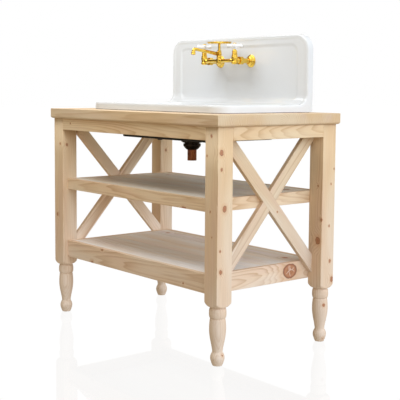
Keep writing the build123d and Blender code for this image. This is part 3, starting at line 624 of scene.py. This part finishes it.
def panel_ring(inset, share=1.0):
    """The panel's outline drawn in by an inset, or shrunk to a share of itself."""
    corner = (PANEL_CORNER - inset) * share
    half = (PANEL_HALF - inset) * share
    return ring(half, (PANEL_HALF_HEIGHT - inset) * share, corner, corner, panel_mid)


border = rings_between(back_edge, panel_ring(0), [0, 0.4, 0.8, 0.96])
step = MM * eased([(0, 1.5, 0), (7, 1.5, 6.5), (17, 5, 8), (PANEL_STEP, 5, 0)], 9)
step_rings = np.stack([panel_ring(inset) for inset in step[:, 0]])
panel_rings = np.stack([panel_ring(PANEL_STEP * MM, share) for share in np.linspace(1, 0, 9)[1:]])
back_flat = np.vstack([border, step_rings, panel_rings])
back_drop = np.hstack([np.full(4, FACE_DROP), step[:, 1], np.full(8, PANEL_DROP)])
back_grid = on_sheet(back_flat, back_drop[:, None])

# bead and skirt: a rolled profile carried along the whole edge of the sheet. Round the cove the
# skirt's lower part reaches out to a square corner instead of a quarter circle
eighth = EIGHTH_STEPS
edge = np.vstack([
    deck_edge[3 * eighth:], deck_edge[1:eighth + 1], back_edge[7 * eighth:],
    back_edge[1:5 * eighth + 1]])
corner_radius = np.where(edge[:, 1] > DECK_RUN, BACK_CORNER, RIM_CORNER)
core_x = np.clip(edge[:, 0], corner_radius - SINK_HALF, SINK_HALF - corner_radius)
core_y = np.clip(edge[:, 1], RIM_CORNER, SHEET_END - BACK_CORNER)
outward = edge - np.stack([core_x, core_y], axis=-1)
outward /= np.linalg.norm(outward, axis=1)[:, None]
profile = MM * eased([
    (0, 1.5, 0), (5.5, 1.5, 3.5), (10.5, 0, 3.5), (24, 0, 11.5), (24, SKIRT / MM, 0.8),
    (23, SKIRT / MM, 0)], 9)
rolled = edge[None] + outward[None] * profile[:, :1, None]
depth = profile[:, 1:] + np.maximum(profile[:, 1:] - ROLL, 0) * np.clip(
    (edge[:, 1] - DECK_RUN) / (COVE_END - DECK_RUN), 0, 1) * ((BACK_SKIRT - SKIRT) / (SKIRT - ROLL))
bend = np.clip((edge[:, 1] - DECK_RUN) / COVE, 0, pi / 2)
squared = 1 / np.maximum(np.cos(bend), np.sin(bend)) - 1
low_share = np.clip((profile[:, 1:] - ROLL) / (SKIRT - ROLL), 0, 1)
depth = depth + squared * low_share * (COVE + profile[:, 1:])
edge_grid = on_sheet(rolled, depth)
sink = surface("enamelled_sink", [basin_grid, roll_grid, deck_grid, back_grid, edge_grid], True)
shell = sink.modifiers.new("wall", "SOLIDIFY")
shell.thickness = IRON
shell.offset = -1
shell.use_even_offset = True
shell.material_offset = 1

enamel, tree, shader, place = new_finish("vitreous_enamel")
cloud = noise(tree, place, 4, 3)[0]
body = blend(tree, fade(tree, cloud, 0.3, 0.75), (0.76, 0.775, 0.79, 1), (0.73, 0.745, 0.765, 1))
orange_peel = noise(tree, place, 240, 2)[0]
bump = make(tree, "ShaderNodeBump", {"Strength": 0.05, "Distance": 0.0004, "Height": orange_peel})
wire(tree, shader, body, fade(tree, cloud, 0.2, 0.8, 0.09, 0.17), bump)
shader.inputs["Coat Weight"].default_value = 0.5
shader.inputs["Coat Roughness"].default_value = 0.04

black_iron, tree, shader, place = new_finish("coated_cast_iron")
sand = noise(tree, place, 420, 4, 0.7)[0]
cloud = noise(tree, place, 16, 3)[0]
body = blend(tree, fade(tree, cloud, 0.3, 0.7), (0.012, 0.012, 0.013, 1), (0.03, 0.028, 0.027, 1))
bump = make(tree, "ShaderNodeBump", {"Strength": 0.5, "Distance": 0.0009, "Height": sand})
wire(tree, shader, body, fade(tree, sand, 0.3, 0.7, 0.42, 0.62), bump)
finish(sink, [enamel, black_iron], "enamelled_iron", "stand", "sink")


def turned(outline, origin, axis=(0, 0, 1), around=64):
    """A turned shape: an outline of (radius, height) points carried once round a line through
    origin along axis, the height measured along it."""
    up = Vector(axis).normalized()
    across = Vector((1, 0, 0)) if abs(up.x) < 0.9 else Vector((0, 1, 0))
    beside = up.cross(across).normalized()
    across = beside.cross(up)
    angle = np.linspace(0, 2 * pi, around + 1)[None, :, None]
    radius, height = outline[:, :1, None], outline[:, 1:, None]
    circle = np.cos(angle) * np.array(across) + np.sin(angle) * np.array(beside)
    return np.array(origin, float) + radius * circle + height * np.array(up)


NUB_X = 82 * MM
NUB_Y = -75 * MM
INSIDE_FLOOR = 792 * MM
nub = MM * eased([(0, 777.5, 0), (10.5, 777.5, 3), (10.5, 792, 0), (0, 792, 0)])
nubs = surface("casting_nubs", [turned(nub, (side * NUB_X, NUB_Y, 0)) for side in (-1, 1)])
nubs.data.materials.append(black_iron)
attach(nubs, "stand")

# A low rib runs round under the basin's floor and is deepest along the front. It is there for
# the look only: the CAD has no rib.
rib_inset = floor_inset + 9 * MM
rib = np.stack([basin_ring(rib_inset + inset) for inset in MM * np.array([0, 0, 1, 7, 8, 8, 0])])
rib_heights = MM * np.array([792, 784, 783, 783, 784, 792, 792])
rib_grid = at_height(rib, rib_heights)
RIB_FADES_FROM = -95 * MM
RIB_FADE_RUN = 40 * MM
from_front = np.clip((rib_grid[..., 1] - RIB_FADES_FROM) / RIB_FADE_RUN, 0, 1)
rib_grid[..., 2] += from_front * 0.9 * (INSIDE_FLOOR - rib_grid[..., 2])
basin_rib = surface("basin_floor_rib", [rib_grid])
finish(basin_rib, [black_iron], "enamelled_iron", "stand")

# A bead of sealant beds the skirt on the slab, wiped with a finger; its dark purple colour is painted
# shadow too, standing in for the shade under the skirt.
sealant, tree, shader, place = new_finish("wiped_sealant_and_painted_shadow")
smear = noise(tree, place, 120, 3)[0]
body = blend(tree, smear, (0.10, 0.075, 0.11, 1), (0.19, 0.15, 0.20, 1))
bump = make(tree, "ShaderNodeBump", {"Strength": 0.3, "Distance": 0.0005, "Height": smear})
wire(tree, shader, body, fade(tree, smear, 0.3, 0.7, 0.3, 0.5), bump)
dress("rim_sealant", sealant)

# ------------------------------------------------------------------ drain
# A basket strainer clamped through the basin floor: black-bronzed locknut and coupling nut,
# rubber washers, a bare copper tailpiece, and a steel basket that lifts out by its knob.
BRONZE = (0.022, 0.018, 0.015)
WORN_BRONZE = (0.05, 0.035, 0.024)
dark_bronze = metal("blackened_bronze", BRONZE, WORN_BRONZE, 0.2, 0.14, 40)
copper = metal("antique_copper", (0.30, 0.11, 0.045), (0.15, 0.045, 0.028), 0.12, 0.1, 70)
steel = metal("basket_steel", (0.62, 0.63, 0.64), (0.5, 0.51, 0.52), 0.16, 0.1, 90)
rubber, tree, shader, place = new_finish("black_rubber")
speck = noise(tree, place, 500, 3)[0]
body = blend(tree, speck, (0.012, 0.012, 0.013, 1), (0.035, 0.035, 0.036, 1))
wire(tree, shader, body, fade(tree, speck, 0.3, 0.7, 0.6, 0.8))
for node in ("drain_washer", "tailpiece_washer", "basket_stopper"):
    dress(node, rubber)
for node in ("strainer_basket", "basket_knob"):
    dress(node, steel)
# The cup's metal is dark below the floor and turns to bare steel on the way up through it.
DARK_UP_TO = 786 * MM
STEEL_FROM = 790 * MM
cup, tree, shader, place = new_finish("strainer_cup_metal")
height = make(tree, "ShaderNodeSeparateXYZ", {0: place}).outputs[2]
cloudy = noise(tree, place, 80, 4)[0]
steel_tone = blend(tree, cloudy, (0.62, 0.63, 0.64, 1), (0.48, 0.49, 0.50, 1))
dark_tone = blend(tree, cloudy, (*BRONZE, 1), (*WORN_BRONZE, 1))
body = blend(tree, fade(tree, height, DARK_UP_TO, STEEL_FROM), dark_tone, steel_tone)
wire(tree, shader, body, fade(tree, cloudy, 0.3, 0.7, 0.16, 0.3))
shader.inputs["Metallic"].default_value = 1.0
dress("drain_body", cup)
drain_at = (DRAIN[0], DRAIN[1], 0)
locknut_outline = MM * eased([
    (40.2, 786.4, 0), (46.8, 786.4, 1), (46.8, 778, 2), (45.2, 771.5, 4), (41.5, 769.6, 1.5),
    (40.2, 769.6, 0), (40.2, 786.4, 0)])
locknut = surface("drain_locknut_disc", [turned(locknut_outline, drain_at, around=96)])
finish(locknut, [dark_bronze], "dark_bronze", "stand", "drain_locknut")
nut_outline = MM * eased([
    (19.4, 738.2, 0), (22.6, 738.2, 0.8), (24.4, 741, 1.5), (28.6, 743.5, 2), (29.6, 746.5, 1.5),
    (33.6, 749.5, 2), (36.6, 755, 3), (36.6, 761.5, 1.5), (35.2, 764, 1), (30.3, 764, 0.4),
    (30.3, 745.4, 0), (19.4, 745.2, 0), (19.4, 738.2, 0)])
coupling = surface("coupling_nut_bell", [turned(nut_outline, drain_at, around=96)])
finish(coupling, [dark_bronze], "dark_bronze", "stand", "coupling_nut")
tail_outline = MM * eased([
    (17.75, 693, 0), (19.05, 693, 0.4), (19.05, 697.4, 0.3), (18.85, 697.9, 0.3), (18.85, 698.7, 0.3),
    (19.05, 699.2, 0.3), (19.05, 737, 0.2), (18.9, 737.4, 0.2), (18.9, 745.5, 0.2), (29, 745.5, 0.3),
    (29, 748.5, 0.3), (17.75, 748.5, 0.3), (17.75, 693, 0)])
tail = surface("copper_tailpiece", [turned(tail_outline, drain_at, around=96)])
finish(tail, [copper], "antique_copper", "stand", "tailpiece")

# ------------------------------------------------------------------ faucet
# A wall faucet in polished brass: two inlets through the back, hex union nuts, a bridge with a
# valve at each end, ringed bonnets, a slim spout that swings, and a dish on a post.
brass = metal("polished_brass", (0.90, 0.62, 0.12), (0.72, 0.43, 0.05), 0.05, 0.06, 45)
brass_nodes = [
    "left_stem", "right_stem", "left_supply_nipple", "right_supply_nipple", "left_back_nut",
    "right_back_nut", "dish_post"]
for node in brass_nodes:
    dress(node, brass)
FAUCET_Y = 174 * MM
FAUCET_Z = 1108 * MM
VALVE_X = 98 * MM
valve_outline = MM * eased([
    (0, 1092, 0), (9, 1092, 3), (13.4, 1096.5, 4), (13.4, 1101, 1), (12.4, 1103, 1.5),
    (12.4, 1113, 1.5), (13.5, 1115.5, 1), (13.5, 1123, 1), (12.6, 1124, 0.5), (0, 1124, 0)])
boss_outline = MM * eased([
    (0, 1090.5, 0), (4, 1090.5, 1.5), (6, 1092.5, 1), (10.5, 1094, 2), (12.5, 1099, 3),
    (12.5, 1115, 3), (11.6, 1120, 1.5), (5.5, 1120, 0.4), (0, 1120, 0)])
bridge_outline = MM * eased([
    (0, -96, 0), (9.4, -96, 0), (9.4, -82, 1), (10.2, -80.5, 0.8), (9.4, -79, 0.8), (7.6, -75, 3),
    (7.6, -20, 4), (9.6, -15, 2), (9.6, 0, 2), (9.6, 15, 2), (7.6, 20, 4), (7.6, 75, 3),
    (9.4, 79, 0.8), (10.2, 80.5, 0.8), (9.4, 82, 1), (9.4, 96, 0), (0, 96, 0)])
inlet_outline = MM * eased([
    (0, 174, 0), (10.6, 174, 0), (10.6, 188, 1), (11.8, 190, 0.6), (11.8, 192.5, 0.6),
    (11, 194, 0.6), (11, 203.8, 0.6), (0, 203.8, 0)])
body_grids = [
    turned(boss_outline, (0, FAUCET_Y, 0)),
    turned(bridge_outline, (0, FAUCET_Y, FAUCET_Z), (1, 0, 0)),
]
for side in (-1, 1):
    body_grids.append(turned(valve_outline, (side * VALVE_X, FAUCET_Y, 0)))
    body_grids.append(turned(inlet_outline, (side * VALVE_X, 0, FAUCET_Z), (0, 1, 0)))
bridge = surface("faucet_bridge", body_grids)
finish(bridge, [brass], "polished_brass", "stand", "faucet_body")


def hexed(outline, origin, axis, flat_half, around=72):
    """A turned shape cut to a hexagon: the radius is the lesser of the outline's and the
    hexagon's, which is half its width across flats over the cosine from the nearest flat."""
    grid = turned(outline, (0, 0, 0), (0, 0, 1), around)
    angle = np.linspace(0, 2 * pi, around + 1)
    nearest_flat = np.mod(angle, pi / 3) - pi / 6
    most = flat_half / np.cos(nearest_flat)
    radius = np.hypot(grid[..., 0], grid[..., 1])
    cut = np.minimum(radius, most) / np.maximum(radius, 1e-9)
    grid[..., 0] *= cut
    grid[..., 1] *= cut
    turn = Vector((0, 0, 1)).rotation_difference(Vector(axis)).to_matrix()
    return grid @ np.array(turn).T + np.array(origin)


flange_outline = MM * eased([
    (10.7, 250.2, 0), (14.2, 250.2, 1), (15.4, 253, 1.5), (19.6, 254.6, 1.5), (20.4, 259, 1.5),
    (22, 261.4, 1.5), (25.6, 263, 1.5), (27, 265.6, 1.2), (27, 268, 0), (10.7, 268, 0),
    (10.7, 250.2, 0)])
union_outline = MM * eased([
    (11.05, 198, 0), (16.2, 198, 0.6), (18, 199.6, 0.6), (18, 213.5, 0.8), (14.2, 215.2, 0.8),
    (13.4, 219.6, 0.8), (10.35, 220, 0), (10.35, 204, 0), (11.05, 203.9, 0), (11.05, 198, 0)])
bonnet_outline = MM * eased([
    (4.6, 1107, 0), (9, 1107, 0), (9, 1124, 0), (12.5, 1124, 0.6), (12.5, 1129.4, 0.8),
    (10.6, 1130.8, 0.5), (10.6, 1132, 0.4), (11.4, 1133.2, 0.5), (11.4, 1135, 0.5),
    (10.2, 1136.2, 0.4), (10.2, 1137.6, 0.4), (11.2, 1138.6, 0.5), (11.2, 1140.4, 0.5),
    (10, 1141.6, 0.4), (10, 1143, 0.4), (10.8, 1144, 0.5), (10.8, 1145.8, 0.5), (9.4, 1147.2, 0.5),
    (9, 1150, 0.8), (7.4, 1153, 0.6), (4.6, 1153, 0), (4.6, 1107, 0)])
UNION_FLAT_HALF = 15.8 * MM
for side_name, side in (("left", -1), ("right", 1)):
    inlet_at = (side * VALVE_X, 0, FAUCET_Z)
    flange = surface(f"{side_name}_stepped_flange", [turned(flange_outline, inlet_at, (0, 1, 0))])
    finish(flange, [brass], "polished_brass", "stand", f"{side_name}_wall_flange")
    union = surface(f"{side_name}_hex_union", [
        hexed(union_outline, inlet_at, (0, 1, 0), UNION_FLAT_HALF)])
    finish(union, [brass], "polished_brass", "stand", f"{side_name}_union_nut")
    bonnet = surface(f"{side_name}_ringed_bonnet", [
        turned(bonnet_outline, (side * VALVE_X, FAUCET_Y, 0))])
    finish(bonnet, [brass], "polished_brass", "stand", f"{side_name}_bonnet")

# Spout: a hub that turns on the post, and a slim tube that rises, bends down and ends in a ring.
HUB_OUTLINE = MM * eased([
    (5.5, 1120.4, 0), (10.4, 1120.4, 0.6), (11.5, 1122, 1), (11.5, 1126, 1), (10, 1128, 1),
    (9.6, 1131, 1), (11.2, 1136, 3), (9.6, 1141, 1), (9.6, 1143.5, 1), (10.8, 1145, 0.8),
    (9.6, 1147.6, 1.2), (5.5, 1148, 0), (5.5, 1120.4, 0)])
spout_line = MM * np.vstack([
    eased([(166, 1136.8, 0), (96, 1146.4, 40), (41, 1153, 0)], 10)[:-1],
    flowing([(46, 1153.2), (39, 1152.6), (35.4, 1149.4), (34.6, 1145), (33, 1133)], 6)])
spout_radius = MM * np.interp(spout_line[:, 0], MM * np.array([30, 40, 60, 140, 166]),
                              [7.2, 7.2, 6.6, 7.4, 8.6])


def tube(line, radii, around=40):
    """A tube round a line of (y, z) points in the middle plane: circles square to the line's
    direction, closed at both ends by a ring of no radius."""
    heading = np.gradient(line, axis=0)
    heading /= np.linalg.norm(heading, axis=1)[:, None]
    angle = np.linspace(0, 2 * pi, around + 1)[None, :]
    r = radii[:, None]
    x = r * np.cos(angle)
    y = line[:, :1] - r * np.sin(angle) * heading[:, 1:]
    z = line[:, 1:] + r * np.sin(angle) * heading[:, :1]
    grid = np.stack([x, y, z], axis=-1)
    ends = [np.broadcast_to([0, *line[i]], (1, around + 1, 3)) for i in (0, -1)]
    return np.vstack([ends[0], grid, ends[1]])


spout = surface("swinging_spout", [
    turned(HUB_OUTLINE, (0, FAUCET_Y, 0)), tube(spout_line, spout_radius)])
finish(spout, [brass], "polished_brass", "spout_arm", "spout")
ring_at = Vector((0, spout_line[-1, 0], spout_line[-1, 1]))
ring_axis = Vector((0, *(spout_line[-1] - spout_line[-2]))).normalized()
ring_outline = MM * eased([
    (7.3, -9, 0), (8.6, -9, 0.5), (9.4, -7.6, 0.8), (8.8, -6, 0.5), (8.8, -1.5, 0.5),
    (9.5, -0.4, 0.6), (9.5, 2.2, 0.6), (8.8, 3, 0.4), (6, 3, 0.4), (6, 0.2, 0), (7.3, 0, 0),
    (7.3, -9, 0)])
outlet = surface("ringed_outlet", [turned(ring_outline, ring_at, ring_axis)])
finish(outlet, [brass], "polished_brass", "spout_arm", "outlet_ring")

# Handles: glazed porcelain crosses, each arm a club that swells to a round end, on a hub that
# sits on the bonnet; a small brass screw cap closes the top.
HANDLE_Z = 1168 * MM
hub_outline = MM * eased([
    (4.6, 1154.2, 0), (9.6, 1154.2, 1), (11.4, 1158, 2), (12.6, 1163, 3), (13, 1168, 3),
    (12.4, 1173, 3), (10, 1177, 1.5), (4.6, 1177, 0), (4.6, 1154.2, 0)])
arm_outline = MM * np.vstack([
    [(0, 7), (6.8, 7)],
    flowing([(6.6, 10), (6.0, 14), (6.5, 18), (8.3, 23), (8.8, 27), (7.2, 31), (4.0, 33.4),
             (0.0, 34)], 6)])
cap_outline = MM * eased([
    (0, 1177, 0), (8.4, 1177, 0), (8.4, 1178.6, 0.6), (7, 1180.2, 0.8), (3, 1181.4, 1), (0, 1181.5, 0)])
porcelain, tree, shader, place = new_finish("glazed_porcelain")
cloud = noise(tree, place, 60, 2)[0]
body = blend(tree, cloud, (0.88, 0.87, 0.85, 1), (0.80, 0.80, 0.79, 1))
wire(tree, shader, body, fade(tree, cloud, 0.3, 0.7, 0.05, 0.12))
shader.inputs["Coat Weight"].default_value = 0.6
shader.inputs["Coat Roughness"].default_value = 0.03
for side_name, side in (("left", -1), ("right", 1)):
    valve_at = (side * VALVE_X, FAUCET_Y, 0)
    arms = [
        turned(arm_outline, (side * VALVE_X, FAUCET_Y, HANDLE_Z),
               (cos(radians(45 + 90 * k)), sin(radians(45 + 90 * k)), 0), 40)
        for k in range(4)]
    cross = surface(f"{side_name}_porcelain_cross", [turned(hub_outline, valve_at), *arms])
    finish(cross, [porcelain], "porcelain", f"{side_name}_valve", f"{side_name}_handle")
    cap = surface(f"{side_name}_screw_cap", [turned(cap_outline, valve_at, around=48)])
    finish(cap, [brass], "polished_brass", f"{side_name}_valve", f"{side_name}_handle_cap")

# Soap dish: a thin pressed oval with a fluted rim, screwed to the post.
dish_low, dish_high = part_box("soap_dish")
dish_profile = eased([
    (0, 0, 0), (0.55, 0, 0.05), (0.86, 0.12, 0.08), (0.985, 0.93, 0.1), (1.0, 1.0, 0.01),
    (0.97, 1.0, 0.01), (0.94, 0.9, 0.05), (0.83, 0.26, 0.08), (0.5, 0.17, 0.05), (0, 0.17, 0)], 5)
angle = np.linspace(0, 2 * pi, 193)[None, :]
share, rise = dish_profile[:, :1], dish_profile[:, 1:]
flute = 1 - 0.022 * np.clip((share - 0.6) / 0.4, 0, 1) * (1 - np.cos(24 * angle))
dish_half = (dish_high - dish_low) / 2
dish_grid = np.stack([
    dish_half.x * share * flute * np.cos(angle),
    FAUCET_Y + dish_half.y * share * flute * np.sin(angle),
    dish_low.z + 2 * dish_half.z * rise + 0 * angle], axis=-1)
dish = surface("fluted_soap_dish", [dish_grid])
finish(dish, [brass], "polished_brass", "stand", "soap_dish")

# ------------------------------------------------------------------ studio
# A pale sweep of floor, a world that is bright and cool on the right, weak soft boxes to the
# right, overhead and in front, and the camera off the front right corner, just above the slab.
studio = bpy.context.scene
studio.view_settings.view_transform = "Standard"
world = bpy.data.worlds.new("studio_air")
studio.world = world
world.use_nodes = True
air = world.node_tree
air.nodes.clear()
way = make(air, "ShaderNodeTexCoord").outputs["Generated"]


def towards(direction, start, end, low, high):
    """A strength that changes from low to high as a way of looking nears a direction."""
    node = make(air, "ShaderNodeVectorMath", {0: way, 1: direction}, operation="DOT_PRODUCT")
    return fade(air, node.outputs["Value"], start, end, low, high)


backdrop = towards((-0.77, 0.63, 0.0), 0.55, 0.85, 0.0, 1.0)
window = towards((0.75, -0.15, 0.55), -0.45, 0.7, 0.08, 1.2)
window_side = towards((0.97, 0.18, 0.06), 0.12, 0.95, 0.0, 1.0)
seen = make(air, "ShaderNodeBackground", {"Color": (1, 1, 1, 1), "Strength": 1.0})
shiny = make(air, "ShaderNodeBackground", {
    "Color": (1, 0.98, 0.95, 1), "Strength": number(air, "MAXIMUM", window, backdrop)})
soft = make(air, "ShaderNodeBackground", {
    "Color": blend(air, window_side, (1.0, 0.80, 0.50, 1), (0.84, 0.95, 1.10, 1)),
    "Strength": fade(air, window_side, 0.0, 1.0, 0.36, 2.35)})
ray = make(air, "ShaderNodeLightPath")
not_seen = make(air, "ShaderNodeMixShader", {
    0: ray.outputs["Is Glossy Ray"], 1: soft.outputs[0], 2: shiny.outputs[0]})
either = make(air, "ShaderNodeMixShader", {
    0: ray.outputs["Is Camera Ray"], 1: not_seen.outputs[0], 2: seen.outputs[0]})
air_out = make(air, "ShaderNodeOutputWorld")
air.links.new(either.outputs[0], air_out.inputs["Surface"])

FLOOR_REACH = 40.0
floor_mesh = bpy.data.meshes.new("studio_floor")
floor_mesh.from_pydata(
    [(x * FLOOR_REACH, y * FLOOR_REACH, 0) for x, y in ((-1, -1), (1, -1), (1, 1), (-1, 1))],
    [], [(0, 1, 2, 3)])
floor = bpy.data.objects.new("studio_floor", floor_mesh)
studio.collection.objects.link(floor)
floor_finish, tree, shader, place = new_finish("pale_floor")
lit = make(tree, "ShaderNodeLightPath").outputs["Is Camera Ray"]
glow = make(tree, "ShaderNodeEmission", {
    "Color": blend(tree, lit, (1.0, 0.84, 0.60, 1), (1, 1, 1, 1)),
    "Strength": fade(tree, lit, 0.0, 1.0, 0.44, 1.01)})
sheen = make(tree, "ShaderNodeBsdfGlossy", {"Color": (1, 1, 1, 1), "Roughness": 0.03})
waxed = make(tree, "ShaderNodeMixShader", {0: 0.10, 1: glow.outputs[0], 2: sheen.outputs[0]})
surface_out = next(n for n in tree.nodes if n.type == "OUTPUT_MATERIAL")
tree.links.new(waxed.outputs[0], surface_out.inputs["Surface"])
tree.nodes.remove(shader)
floor_mesh.materials.append(floor_finish)


def soft_box(name, place, target, width, height, power, colour):
    """A rectangular soft light at a place, facing a target."""
    lamp = bpy.data.lights.new(name, "AREA")
    lamp.shape = "RECTANGLE"
    lamp.size = width
    lamp.size_y = height
    lamp.energy = power
    lamp.color = colour
    holder = bpy.data.objects.new(name, lamp)
    studio.collection.objects.link(holder)
    holder.location = place
    holder.rotation_euler = (Vector(target) - Vector(place)).to_track_quat("-Z", "Y").to_euler()


soft_box("right_soft_box", (4.2, 0.6, 2.4), (0, 0, 0.7), 3.0, 2.6, 8, (0.74, 0.88, 1.0))
soft_box("overhead_soft_box", (0.2, -0.6, 4.0), (0, 0.1, 0.8), 3.4, 2.6, 2, (0.95, 0.98, 1.0))
soft_box("front_soft_box", (-0.2, -0.6, 2.1), (0, 0.27, 1.08), 1.5, 0.8, 18, (0.93, 0.98, 1.03))

CAMERA_PLACE = (2.9895, -2.3887, 0.9932)
CAMERA_YAW = 0.8818
CAMERA_PITCH = 0.0883
CAMERA_ROLL = 0.0075
forward = Vector((-sin(CAMERA_YAW) * cos(CAMERA_PITCH), cos(CAMERA_YAW) * cos(CAMERA_PITCH),
                  -sin(CAMERA_PITCH)))
level = Vector((cos(CAMERA_YAW), sin(CAMERA_YAW), 0))
upright = level.cross(forward)
right_axis = level * cos(CAMERA_ROLL) + upright * sin(CAMERA_ROLL)
up_axis = upright * cos(CAMERA_ROLL) - level * sin(CAMERA_ROLL)
lens = bpy.data.cameras.new("studio_camera")
lens.lens = 83.35
lens.sensor_width = 36
lens.shift_y = -0.075
lens.clip_end = 200
camera = bpy.data.objects.new("studio_camera", lens)
studio.collection.objects.link(camera)
turn = Matrix((right_axis, up_axis, -forward)).transposed().to_4x4()
camera.matrix_world = Matrix.Translation(CAMERA_PLACE) @ turn
studio.camera = camera
